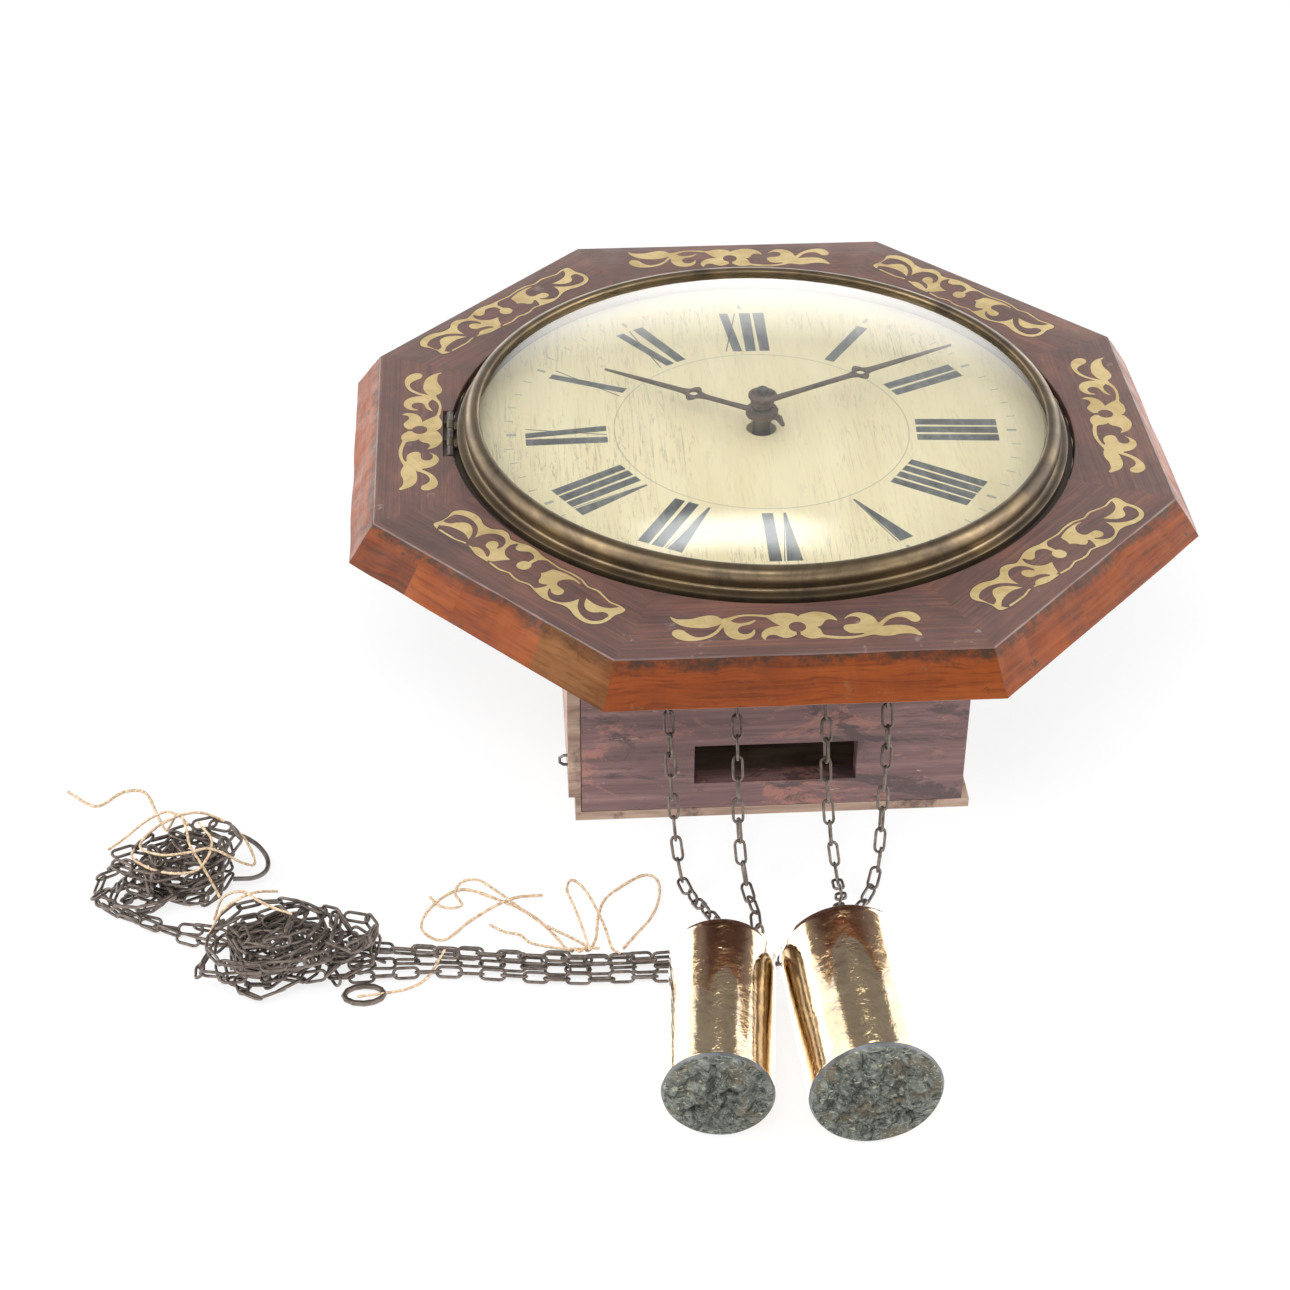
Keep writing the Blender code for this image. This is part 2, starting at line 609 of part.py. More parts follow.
def bezel_hinge(ring):
    """A butt hinge at nine o'clock: three knuckles and the pin on the leaf, two knuckles on the bezel."""
    z = BEZEL_AXIS_Z
    half = HINGE_RECESS["half"] - 1.0 * MM
    step = 2 * half / 5
    floor = FACE_Z - HINGE_RECESS["deep"] + GAP
    inner = HINGE_RECESS["x"] + GAP
    leaf = box("bezel_hinge_leaf", (inner, -half, floor), (BEZEL_AXIS_X, half, floor + 0.8 * MM), STEEL)
    weld(leaf, rod("bezel_hinge_pin", (BEZEL_AXIS_X, -half, z), (BEZEL_AXIS_X, half, z), BEZEL_PIN_R, None, 8,
                   True))
    for i in range(5):
        low, high = -half + i * step, -half + (i + 1) * step
        if i % 2 == 0:
            weld(leaf, rod("leaf_knuckle_%d" % i, (BEZEL_AXIS_X, low, z), (BEZEL_AXIS_X, high, z),
                           BEZEL_BARREL_R, None, 8, True),
                 box("leaf_web_%d" % i, (inner, low, floor + 0.2 * MM),
                     (BEZEL_AXIS_X - 0.6 * MM, high, z - 0.2 * MM),
                     None, tool=True))
        else:
            low, high = low + GAP, high - GAP
            knuckle = rod("bezel_knuckle_%d" % i, (BEZEL_AXIS_X, low, z), (BEZEL_AXIS_X, high, z),
                          BEZEL_BARREL_R, None, 8, True)
            arm = box("knuckle_arm_%d" % i, (BEZEL_AXIS_X, low, z - 0.5 * MM),
                      (-BEZEL_AXIS_ROOM + 1.5 * MM, high, z + 0.5 * MM), None, tool=True)
            weld(ring, knuckle, arm)
            cut(ring, rod("knuckle_bore_%d" % i, (BEZEL_AXIS_X, low - 0.1 * MM, z),
                          (BEZEL_AXIS_X, high + 0.1 * MM, z),
                          BEZEL_PIN_R + RUNNING_GAP, None, 8, True))


# Hands

def hand(name, look, z, angle, long, ring_at, ring_r, boss_r, bore_r, tail):
    """A turned boss and a flat pointer with a pierced four-lobed ornament part way along it."""
    upper = [(boss_r * 0.8, 1.5), (0.5 * ring_at, 1.1), (ring_at - ring_r * 1.4, 1.2)]
    for i in range(1, 8):
        a = math.pi - math.pi * i / 8
        r = ring_r * (1.0 + 0.22 * math.cos(4 * a))
        upper.append((ring_at + r * math.cos(a), r * math.sin(a)))
    upper += [(ring_at + ring_r * 1.5, 1.3), (long * 0.8, 0.9), (long, 0.25)]
    outline = upper + [(x, -y) for x, y in reversed(upper)]
    hole = [(ring_at + 0.45 * ring_r * math.cos(math.tau * i / 8), 0.45 * ring_r * math.sin(math.tau * i / 8))
            for i in range(8)]
    pointer = flat(name, [[(x * MM, y * MM) for x, y in ring] for ring in (outline, hole)], z, z + HAND_THICK,
                   look)
    pointer.rotation_euler = (0, 0, angle)
    if tail:
        bent = [(-4, -1.7), (-8.2, -0.6), (-12.0, 4.6), (-11.2, 5.6), (-7.4, 2.4), (-4, 1.7)]
        back = flat(name + "_tail", [[(x * MM, y * MM) for x, y in bent]], z, z + HAND_THICK, None, tool=True)
        back.rotation_euler = (0, 0, angle)
        weld(pointer, back)
    boss = turned(name + "_boss", [(boss_r * MM * 0.7, z + 2.6 * MM), (boss_r * MM, z + 1.8 * MM),
                                   (boss_r * MM, z - 0.4 * MM), (boss_r * MM * 0.8, z - 1.2 * MM),
                                   (bore_r, z - 1.2 * MM), (bore_r, z + 2.6 * MM)], None, 12, tool=True)
    weld(pointer, boss)


def hands():
    hand("hour_hand", IRON, HOUR_HAND_Z, HOUR_HAND_ANGLE, HOUR_HAND_LONG / MM, 29.8, 4.2, 6.4,
         HOUR_PIPE_R + GAP, True)
    hand("minute_hand", IRON, MINUTE_HAND_Z, MINUTE_HAND_ANGLE, MINUTE_HAND_LONG / MM, 45.8, 4.2, 4.6,
         MINUTE_ARBOR_R + GAP, False)
    z = COLLET_Z
    turned("hand_collet", [(4.4 * MM, z + COLLET_THICK), (5.6 * MM, z + 0.9 * MM), (5.6 * MM, z),
                           (MINUTE_ARBOR_R + GAP, z), (MINUTE_ARBOR_R + GAP, z + COLLET_THICK)], IRON, 16)
    shape = bmesh.new()
    rod_into(shape, (-4.2 * MM, 1.0 * MM, HAND_PIN_Z), (4.6 * MM, -1.1 * MM, HAND_PIN_Z), 0.35 * MM, 8,
             HAND_PIN_R)
    from_bmesh("hand_pin", shape, IRON, smooth=True)


# Wheels

def tooth_ring(centre, teeth, module, phase, pointed, tip=0.45, root=0.75):
    """Outline of a toothed wheel, with one tooth centred on the phase angle."""
    radius = teeth * module / 2
    pitch = math.tau / teeth
    lands = (((0.0, tip), (0.5, -root)) if pointed
             else ((-0.07, tip), (0.07, tip), (0.36, -root), (0.64, -root)))
    made = []
    for i in range(teeth):
        for share, height in lands:
            a = phase + (i + share) * pitch
            r = radius + height * module
            made.append((centre[0] + r * math.cos(a), centre[1] + r * math.sin(a)))
    return made


def towards(start, end):
    return math.atan2(end[1] - start[1], end[0] - start[0])


def polar(start, distance, degrees):
    a = math.radians(degrees)
    return start[0] + distance * math.cos(a), start[1] + distance * math.sin(a)


def windows(centre, radius, size, count=4):
    return [circle(polar(centre, radius, 360 * (i + 0.5) / count), size, 6) for i in range(count)]


def wheel(name, centre, teeth, module, phase, z, bore_r, look, holes=True, thick=WHEEL_THICK):
    radius = teeth * module / 2
    outlines = [tooth_ring(centre, teeth, module, phase, True)]
    if bore_r:
        outlines.append(circle(centre, bore_r, PIVOT_SIDES))
    if holes:
        outlines += windows(centre, radius * 0.58, radius * 0.24)
    return flat(name, outlines, z, z + thick, look)


def gap_phase(centre, partner, teeth):
    """Phase that puts a gap, not a tooth, on the line towards the partner."""
    return towards(centre, partner) + math.pi / teeth


def pinion_and_shaft(name, centre, low, high, teeth, module, phase, pinion_low, pinion_high, radius=ARBOR_R):
    """Hidden solids to weld on: a leaved pinion and the arbor through it."""
    return (rod(name + "_shaft", (*centre, low), (*centre, high), radius, None, PIVOT_SIDES, True),
            flat(name + "_pinion", [tooth_ring(centre, teeth, module, phase, False)], pinion_low, pinion_high,
                 None, True))


def arbor_with_pinion(name, centre, low, high, teeth, module, phase, pinion_low, pinion_high, look,
                      radius=ARBOR_R):
    pinion = flat(name, [tooth_ring(centre, teeth, module, phase, False)], pinion_low, pinion_high, look)
    weld(pinion, rod(name + "_shaft", (*centre, low), (*centre, high), radius, None, PIVOT_SIDES, True))
    return pinion


def drum(name, centre, core_r, flange_r, z, half, wall, bore_r, look):
    """A chain wheel: a core between two flanges, bored for its arbor."""
    turned(name, [(flange_r, z + half + wall), (flange_r, z + half), (core_r, z + half - 1.2 * MM),
                  (core_r, z - half + 1.2 * MM), (flange_r, z - half), (flange_r, z - half - wall),
                  (bore_r, z - half - wall), (bore_r, z + half + wall)], look, 20, centre)


def count_outline(centre, radius, deep):
    """The strike's counting disc: a notch after 1, 2, 3 and on to 12 blows."""
    made = []
    at = 0
    total = 90
    for hour in range(1, 13):
        at += hour + 1
        edge = math.tau * at / total
        start = math.tau * (at - hour) / total
        steps = max(1, hour // 3)
        for i in range(steps + 1):
            a = start + (edge - math.tau * 0.35 / total - start) * i / steps
            made.append((centre[0] + radius * math.cos(a), centre[1] + radius * math.sin(a)))
        for share in (0.30, 0.70):
            a = edge + math.tau * (share - 0.30) / total
            made.append((centre[0] + (radius - deep) * math.cos(a), centre[1] + (radius - deep) * math.sin(a)))
    return made


def train_places():
    """Centres of the arbors, from the teeth and modules that mesh between them."""
    second = polar(GOING_GREAT_XY, (GREAT_TEETH + SECOND_PINION_TEETH) * GREAT_MODULE / 2, 110.0)
    reach = (SECOND_TEETH + ESCAPE_PINION_TEETH) * SECOND_MODULE / 2
    escape = polar(second, reach, 128.4)
    anchor = (escape[0], escape[1] + ESCAPE_R + ANCHOR_RISE)
    pins = polar(STRIKE_GREAT_XY, (STRIKE_GREAT_TEETH + PIN_PINION_TEETH) * STRIKE_GREAT_MODULE / 2, 100.0)
    fly = polar(pins, (PIN_TEETH + FLY_PINION_TEETH) * PIN_MODULE / 2, 95.0)
    hour_reach = (CANNON_TEETH + INTERMEDIATE_TEETH) * MOTION_MODULE / 2
    intermediate = polar((0, 0), hour_reach, 120.0)
    return dict(second=second, escape=escape, anchor=anchor, pins=pins, fly=fly, intermediate=intermediate,
                hammer=HAMMER_XY)


def plates(places):
    half = [(-PLATE_HALF_X, -PLATE_HALF_Y), (PLATE_HALF_X, -PLATE_HALF_Y),
            (PLATE_HALF_X, PLATE_HALF_Y), (-PLATE_HALF_X, PLATE_HALF_Y)]
    pivots = [GOING_GREAT_XY, STRIKE_GREAT_XY]
    pivots += [places[name] for name in ("second", "escape", "pins", "fly", "anchor", "hammer")]
    holes = [circle(p, ARBOR_R + RUNNING_GAP, PIVOT_SIDES) for p in pivots]
    back = flat("back_plate", [half] + holes, BACK_PLATE_Z, BACK_PLATE_Z + PLATE_THICK, BRASS)
    for i, (x, y) in enumerate(((-1, -1), (-1, 1), (1, -1), (1, 1))):
        cx, cy = x * (PLATE_HALF_X - PILLAR_INSET), y * (PLATE_HALF_Y - PILLAR_INSET)
        weld(back, rod("pillar_%d" % i, (cx, cy, BACK_TOP + GAP), (cx, cy, FRONT_PLATE_Z - GAP),
                       PILLAR_R, None, 8, True))
    ax, ay = places["anchor"]
    weld(back, rod("suspension_stud", (ax, ay + STUD_RISE, 21 * MM), (ax, ay + STUD_RISE, BACK_PLATE_Z + MM),
                   1.6 * MM, None, 8, True))
    holes.append(circle((0, 0), MINUTE_ARBOR_R + RUNNING_GAP, PIVOT_SIDES))
    front = flat("front_plate", [half] + holes, FRONT_PLATE_Z, FRONT_PLATE_Z + PLATE_THICK, BRASS)
    ix, iy = places["intermediate"]
    weld(front, rod("wheel_stud", (ix, iy, FRONT_PLATE_Z + MM), (ix, iy, MOTION_Z + 11 * MM), ARBOR_R, None,
                    PIVOT_SIDES, True))


def motion_work(places):
    """The wheels between the front plate and the dial that turn the two hands."""
    centre, great, middle = (0, 0), GOING_GREAT_XY, places["intermediate"]
    module = 2 * math.hypot(*great) / (DRIVE_TEETH + MINUTE_WHEEL_TEETH)
    drive = wheel("going_arbor", great, DRIVE_TEETH, module, towards(great, centre), MOTION_Z, 0, STEEL,
                  holes=False)
    weld(drive, rod("going_shaft", (*great, BACK_PLATE_Z + 0.2 * MM), (*great, MOTION_Z + 3 * MM),
                    ARBOR_R, None, PIVOT_SIDES, True))
    wheel("minute_wheel", centre, MINUTE_WHEEL_TEETH, module, gap_phase(centre, great, MINUTE_WHEEL_TEETH),
          MOTION_Z, MINUTE_ARBOR_R + GAP, BRASS, holes=False)
    arbor = arbor_with_pinion("minute_arbor", centre, FRONT_PLATE_Z - 2 * MM, ARBOR_TOP, CANNON_TEETH,
                              MOTION_MODULE, towards(centre, middle), CANNON_Z, CANNON_Z + 2.6 * MM,
                              STEEL, MINUTE_ARBOR_R)
    cut(arbor, rod("hand_pin_hole", (-4 * MM, 0.97 * MM, HAND_PIN_Z), (4 * MM, -0.97 * MM, HAND_PIN_Z),
                   HAND_PIN_R + GAP, None, 8, True))
    ring = wheel("intermediate_wheel", middle, INTERMEDIATE_TEETH, MOTION_MODULE,
                 gap_phase(middle, centre, INTERMEDIATE_TEETH), CANNON_Z + 0.3 * MM, 0, BRASS, holes=False)
    pinion = flat("intermediate_pinion", [tooth_ring(middle, INTERMEDIATE_PINION_TEETH, MOTION_MODULE,
                                                     towards(middle, centre), False)],
                  CANNON_Z + 1.3 * MM, HOUR_WHEEL_Z + 2.2 * MM, None, True)
    weld(ring, pinion)
    cut(ring, rod("intermediate_bore", (*middle, CANNON_Z - MM), (*middle, HOUR_WHEEL_Z + 4 * MM),
                  ARBOR_R + RUNNING_GAP, None, PIVOT_SIDES, True))
    hour = wheel("hour_wheel", centre, HOUR_WHEEL_TEETH, MOTION_MODULE,
                 gap_phase(centre, middle, HOUR_WHEEL_TEETH),
                 HOUR_WHEEL_Z, 0, BRASS, holes=False)
    weld(hour, rod("hour_pipe", (0, 0, HOUR_WHEEL_Z), (0, 0, HOUR_HAND_Z + 3.1 * MM), HOUR_PIPE_R, None, 16,
                   True))
    cut(hour, rod("hour_pipe_bore", (0, 0, HOUR_WHEEL_Z - MM), (0, 0, HOUR_HAND_Z + 5 * MM),
                  MINUTE_ARBOR_R + RUNNING_GAP, None, 16, True))


def going_train(places):
    great, second, escape = GOING_GREAT_XY, places["second"], places["escape"]
    bore = ARBOR_R + GAP
    ends = (BACK_PLATE_Z + 0.2 * MM, FRONT_PLATE_Z + PLATE_THICK - 0.2 * MM)
    wheel("going_great_wheel", great, GREAT_TEETH, GREAT_MODULE, towards(great, second), GREAT_Z, bore, BRASS)
    drum("going_chain_wheel", great, GOING_CHAIN_R - CHAIN_D / 2 - 0.5 * MM, GOING_CHAIN_R + 1.2 * MM, CHAIN_Z,
         CHAIN_D / 2 + 0.8 * MM, 1.0 * MM, bore, BRASS)
    ring = wheel("second_wheel", second, SECOND_TEETH, SECOND_MODULE, towards(second, escape), SECOND_Z, 0,
                 BRASS,
                 holes=False)
    weld(ring, *pinion_and_shaft("second", second, *ends, SECOND_PINION_TEETH, GREAT_MODULE,
                                 gap_phase(second, great, SECOND_PINION_TEETH), GREAT_Z - MM,
                                 GREAT_Z + 3 * MM))
    teeth = []
    for i in range(ESCAPE_TEETH):
        a = math.tau * i / ESCAPE_TEETH + math.radians(3)
        teeth.append((escape[0] + ESCAPE_R * math.cos(a), escape[1] + ESCAPE_R * math.sin(a)))
        a += math.radians(3.5)
        inner = ESCAPE_R - 2.6 * MM
        teeth.append((escape[0] + inner * math.cos(a), escape[1] + inner * math.sin(a)))
    ring = flat("escape_wheel", [teeth], ESCAPE_Z, ESCAPE_Z + 1.2 * MM, BRASS)
    weld(ring, *pinion_and_shaft("escape", escape, *ends, ESCAPE_PINION_TEETH, SECOND_MODULE,
                                 gap_phase(escape, second, ESCAPE_PINION_TEETH), SECOND_Z - MM,
                                 SECOND_Z + 3 * MM))
    verge(places)


def verge(places):
    """The anchor that locks the escape wheel, and the crutch that follows the pendulum."""
    x, y = places["anchor"]
    tip = (ESCAPE_R + PALLET_GAP) * math.sin(PALLET_SPREAD)
    drop = places["escape"][1] + tip - y
    right = [(tip - 1.2 * MM, drop + 2.4 * MM), (tip + 0.2 * MM, drop), (tip + 3.0 * MM, drop + 1.6 * MM),
             (6.5 * MM, 3.2 * MM), (0, 4.4 * MM)]
    outline = [(5.2 * MM, -0.6 * MM)] + right
    outline += [(-a, b) for a, b in reversed(outline[:-1])] + [(0, -2.4 * MM)]
    shaft = rod("anchor_and_crutch", (x, y, 26 * MM), (x, y, FRONT_PLATE_Z + PLATE_THICK - 0.2 * MM), ARBOR_R,
                STEEL,
                PIVOT_SIDES)
    weld(shaft, flat("anchor", [[(x + a, y + b) for a, b in outline]], ESCAPE_Z - 0.6 * MM,
                     ESCAPE_Z + 1.8 * MM,
                     None, True))
    reach = ((-2, 0), (20, 0), (34, 0), (37, -2), (37, -8))
    arm = tube_mesh("crutch_arm", [(x, y - a * MM, CRUTCH_Z + b * MM) for a, b in reach], CRUTCH_WIRE_R)
    weld(shaft, finish("crutch_wire", arm, None, tool=True))


def strike_train(places):
    great, pins, fly = STRIKE_GREAT_XY, places["pins"], places["fly"]
    bore = ARBOR_R + GAP
    ends = (BACK_PLATE_Z + 0.2 * MM, FRONT_PLATE_Z + PLATE_THICK - 0.2 * MM)
    arbor = rod("strike_arbor", (*great, STRIKE_ARBOR_LOW), (*great, ends[1]), ARBOR_R, STEEL, PIVOT_SIDES)
    weld(arbor, flat("count_disc", [count_outline(great, COUNT_R, COUNT_DEEP)], COUNT_LOW, COUNT_HIGH, None,
                     True))
    wheel("strike_great_wheel", great, STRIKE_GREAT_TEETH, STRIKE_GREAT_MODULE, towards(great, pins),
          STRIKE_GREAT_Z, bore, BRASS)
    drum("strike_chain_wheel", great, STRIKE_CHAIN_R - CHAIN_D / 2 - 0.5 * MM, STRIKE_CHAIN_R + 1.2 * MM,
         CHAIN_Z,
         CHAIN_D / 2 + 0.8 * MM, 1.0 * MM, bore, BRASS)
    ring = wheel("pin_wheel", pins, PIN_TEETH, PIN_MODULE, towards(pins, fly), PIN_Z, 0, BRASS, holes=False)
    weld(ring, *pinion_and_shaft("pin", pins, *ends, PIN_PINION_TEETH, STRIKE_GREAT_MODULE,
                                 gap_phase(pins, great, PIN_PINION_TEETH), STRIKE_GREAT_Z - MM,
                                 STRIKE_GREAT_Z + 3 * MM))
    for i in range(LIFTING_PINS):
        px, py = polar(pins, LIFTING_PIN_CIRCLE_R, 360 * i / LIFTING_PINS + 10)
        weld(ring, rod("lifting_pin_%d" % i, (px, py, PIN_Z + MM), (px, py, PIN_Z + 4.4 * MM), LIFTING_PIN_R,
                       None, 6, True))
    vane = arbor_with_pinion("fly", fly, *ends, FLY_PINION_TEETH, PIN_MODULE,
                             gap_phase(fly, pins, FLY_PINION_TEETH), PIN_Z - MM, PIN_Z + 3 * MM, STEEL)
    weld(vane, box("fly_vane", (fly[0] - VANE_HALF_WIDE, fly[1] - VANE_HALF_THICK, VANE_LOW),
                   (fly[0] + VANE_HALF_WIDE, fly[1] + VANE_HALF_THICK, VANE_HIGH), None, tool=True))
    hammer_and_gong(places)


def hammer_and_gong(places):
    x, y = places["hammer"]
    shaft = rod("hammer", (x, y, GONG_Z - 1.5 * MM), (x, y, FRONT_PLATE_Z + PLATE_THICK - 0.2 * MM), ARBOR_R,
                STEEL,
                PIVOT_SIDES)
    head_x = GONG_CENTRE[0] - GONG_R + GONG_STEP / 2 - GONG_WIRE_R - HAMMER_GAP - HAMMER_HEAD_R
    head = (head_x, GONG_CENTRE[1])
    arm = tube_mesh("hammer_arm", [(x, y + MM, GONG_Z), (x, y - 6 * MM, GONG_Z), (*head, GONG_Z)],
                    HAMMER_WIRE_R)
    weld(shaft, finish("hammer_wire", arm, None, tool=True))
    weld(shaft, rod("hammer_head", (*head, GONG_Z - 3.6 * MM), (*head, GONG_Z + 3.6 * MM), HAMMER_HEAD_R,
                    None, 12,
                    True))
    pins = places["pins"]
    away = math.hypot(pins[0] - x, pins[1] - y)
    reach = away - LIFTING_PIN_CIRCLE_R - LIFTING_PIN_R - PALLET_GAP - HAMMER_WIRE_R
    tail_z = PIN_Z + 3.7 * MM
    end = (x + (pins[0] - x) * reach / away, y + (pins[1] - y) * reach / away)
    weld(shaft, rod("hammer_tail", (x, y, tail_z), (*end, tail_z), HAMMER_WIRE_R, None, 8, True))

    points = []
    count = int(16 * GONG_TURNS)
    for i in range(count + 1):
        a = math.tau * i / 16
        r = GONG_R - GONG_STEP * i / 16
        points.append((GONG_CENTRE[0] + r * math.cos(a), GONG_CENTRE[1] + r * math.sin(a), GONG_Z))
    print("gong least gap to itself, mm:", round((GONG_STEP - 2 * GONG_WIRE_R) / MM, 2))
    gong = tube("gong", points, GONG_WIRE_R, STEEL, 1)
    end = points[-1]
    weld(gong, rod("gong_block", (end[0], end[1], BACK_TOP + GAP), (end[0], end[1], GONG_Z + 2.6 * MM),
                   2.4 * MM,
                   None, 12, True))


# Weights

def weight_place(spec):
    """Where a weight lies, its own Z running from its near end to its hook."""
    return (Matrix.Translation((spec["x"], spec["y"], spec["d"] / 2 + 0.2 * MM))
            @ Matrix.Rotation(-math.radians(spec["turn"]), 4, "Z")
            @ Matrix.Rotation(math.radians(-90), 4, "X"))


def weight(spec):
    """A brass sleeve with a closed top, its lead filling and its hanging hook."""
    radius = spec["d"] / 2
    place = weight_place(spec)
    long = spec["long"]
    name = spec["name"]
    inner = radius - WEIGHT_WALL
    sleeve = turned(name + "_weight_sleeve", [(radius, long), (radius, 0.0), (inner, 0.0),
                                              (inner, long - WEIGHT_WALL),
                    (HOOK_WIRE_R + GAP, long - WEIGHT_WALL), (HOOK_WIRE_R + GAP, long)], BRASS, 24)
    sleeve.matrix_world = place
    fill = inner - GAP
    dome = [(fill * math.sin(a), -radius * 0.22 * math.cos(a)) for a in (math.radians(d) for d in (0, 30, 60,
                                                                                                   85))]
    top = long - WEIGHT_WALL - GAP
    core = turned(name + "_weight_core", [(0.0, top), (fill, top)] + [(fill, 0.4 * MM)] + dome[::-1], LEAD, 24,
                  closed=False)
    core.matrix_world = place
    eye_z = long + HOOK_LONG - HOOK_WIRE_R - HOOK_EYE_R
    wire = [Vector((0, 0, top + GAP)), Vector((0, 0, long + 3.6 * MM))]
    for i in range(8):
        a = math.radians(-90 + 42 * i)
        wire.append(Vector((HOOK_EYE_R * math.cos(a), 0, eye_z + HOOK_EYE_R * math.sin(a))))
    hook = tube(name + "_weight_hook", wire, HOOK_WIRE_R, STEEL)
    hook.matrix_world = place


# Chains and twine, as they lie

STRIKE_WEIGHT_SIDE = ((-29.8, -190.7, 18.6), (-31.2, -184.5, 17.6), (-34.0, -174.5, 13.6),
                      (-37.0, -163.1, 8.6),
                      (-38.8, -155.5, 5.4), (-40.6, -148, 5.6), (-42.2, -141.2, 12.3), (-43.2, -132.7, 24),
                      (-43.4, -123.8, 36.2), (-43.7, -115.3, 48.2), (-43.6, -110.2, 55.0),
                      (-43.5, -105.0, 60.6),
                      (-43.5, -100.0, 61.7), (-43.5, -92.0, 62))
GOING_WEIGHT_SIDE = ((9.8, -194.4, 22.3), (11.0, -187.5, 21.6), (13.0, -179.5, 18.8), (14.8, -170.5, 14.4),
                     (16.0, -160.3, 9.0), (16.2, -152.5, 5.6), (15.8, -146.5, 7.0), (15.2, -140.5, 13.3),
                     (14.6, -132.4, 24.4), (14.1, -122.6, 37.9), (14.6, -115.0, 48.6), (14.8, -110.2, 55.0),
                     (14.8, -105.0, 60.6), (14.8, -100.0, 61.7), (14.8, -92.0, 62))
STRIKE_TAIL = ((-18.5, -92.0, 62), (-18.5, -100.0, 61.7), (-18.5, -105.0, 60.6), (-18.4, -110.2, 55.0),
               (-18.6, -115.0, 48.4), (-18.8, -122.8, 37.6), (-19.1, -130.8, 26.6),
               (-18.8, -139.3, 13.6), (-17.8, -147.0, 4.2), (-16.5, -155.0, 2.6), (-15.0, -164.0, 2.6),
               (-14.6, -172.9, 2.6), (-18.0, -180.8, 2.6), (-27.0, -184.2, 2.6), (-45, -185.2, 2.6),
               (-78, -185.0, 2.6), (-104, -182.2, 2.6), (-130, -178.4, 2.6), (-162.0, -173.9, 2.6))
GOING_TAIL = ((37.8, -92.0, 62), (37.8, -100.0, 61.7), (37.8, -105.0, 60.6), (37.7, -110.2, 55.0),
              (37.4, -115.0, 48.6), (36.4, -123.1, 37.2), (34.8, -132, 25), (33.2, -140.4, 12.8),
              (31.4, -147.6, 4.2), (28.2, -155.5, 2.6), (23.8, -162.6, 2.6), (16.0, -171.5, 2.6),
              (6.5, -180.5, 2.6), (-4.0, -188.6, 2.6), (-17.0, -194.2, 2.6), (-30, -195.8, 2.6),
              (-45, -195.6, 2.6), (-78, -195.2, 2.6), (-104, -192.4, 2.6), (-130, -189.0, 2.6),
              (-168.4, -189.8, 2.6))
CHAIN_FOLD = ((-161.2, -178.4, 7.0), (-130, -183.4, 7.0), (-104, -187.0, 7.0), (-78, -190.0, 7.0),
              (-50, -190.2, 7.0), (-34, -188.2, 7.0), (-27.5, -190.0, 4.8), (-34, -190.2, 2.6),
              (-50, -190.3, 2.6), (-78, -190.1, 2.6), (-104, -187.3, 2.6), (-130, -183.7, 2.6),
              (-161.2, -182.0, 2.6))
CHAIN_LOOP = ((-202.9, -167.4, 2.6), (-206.5, -164.4, 2.6), (-213, -162.0, 2.6), (-223, -160.2, 2.6),
              (-235, -156.8, 2.6), (-246.5, -151.3, 2.6), (-254.0, -143.5, 2.6), (-255.4, -135.5, 2.6),
              (-251.5, -129.6, 2.6), (-245.0, -129.4, 2.6))
TWINE_MIDDLE = ((-92, -149, 1.6), (-104, -150.5, 1.6), (-118, -160, 0.9), (-128.5, -170.5, 0.9),
                (-136.5, -164, 0.9), (-133, -152.5, 0.9), (-122, -143.5, 0.9), (-107.5, -150.5, 0.9),
                (-96, -160, 1.3), (-88.0, -172, 1.6), (-85.5, -179, 3.4), (-83.0, -184.4, 6.0),
                (-81.6, -187.2, 9.8), (-80.0, -190.0, 10.6), (-78.4, -187.2, 9.8), (-77.0, -184.5, 6.0),
                (-75.0, -179, 3.4), (-73.5, -172, 1.6), (-72, -160, 1.3), (-68, -150, 0.9), (-55, -139.5, 0.9),
                (-49.5, -142.5, 0.9), (-49.5, -152, 0.9), (-53, -162.5, 0.9), (-59.5, -172, 0.9),
                (-64, -178.5, 0.9))
TWINE_LEFT = ((-221.5, -126.0, 21.9), (-224.0, -121.6, 21.9), (-226.6, -117.2, 19.8), (-229.5, -114.6, 13),
              (-233.0, -107.0, 4.0), (-237.0, -96.0, 1.2), (-243.5, -80.5, 0.9), (-252, -79.5, 0.9),
              (-261.5, -87.5, 0.9), (-273.3, -78.2, 0.9))


def wound(centre, half_x, half_y, phase=0.0):
    """Loops that spiral in and out again, climbing a layer where the spiral reverses."""
    low, step = CHAIN_D / 2 + GAP, CHAIN_D + HANK_CLEARANCE
    made = []
    for i in range(int(LOOP_POINTS * HANK_LOOPS * HANK_LAYERS) + 1):
        t = i / LOOP_POINTS
        layer = min(int(t // HANK_LOOPS), HANK_LAYERS - 1)
        within = t - layer * HANK_LOOPS
        depth = within if layer % 2 == 0 else HANK_LOOPS - within
        into = min(1.0, max(0.0, (within + 0.25) / 0.5)) if layer else 1.0
        left = within - HANK_LOOPS
        before = min(1.0, max(0.0, (left + 0.25) / 0.5)) if layer < HANK_LAYERS - 1 else 0.0
        height = layer - (1 - into) + before
        a = phase + math.tau * t
        made.append(Vector((centre[0] + (half_x - step * depth) * math.cos(a),
                            centre[1] + (half_y - step * depth) * math.sin(a), low + step * height)))
    return made


def least_gap(points, radius):
    """Smallest distance between runs of a tube that aren't neighbours along it."""
    best = 1.0
    for i, a in enumerate(points):
        for j in range(i + 8, len(points)):
            best = min(best, (a - points[j]).length)
    return best - 2 * radius


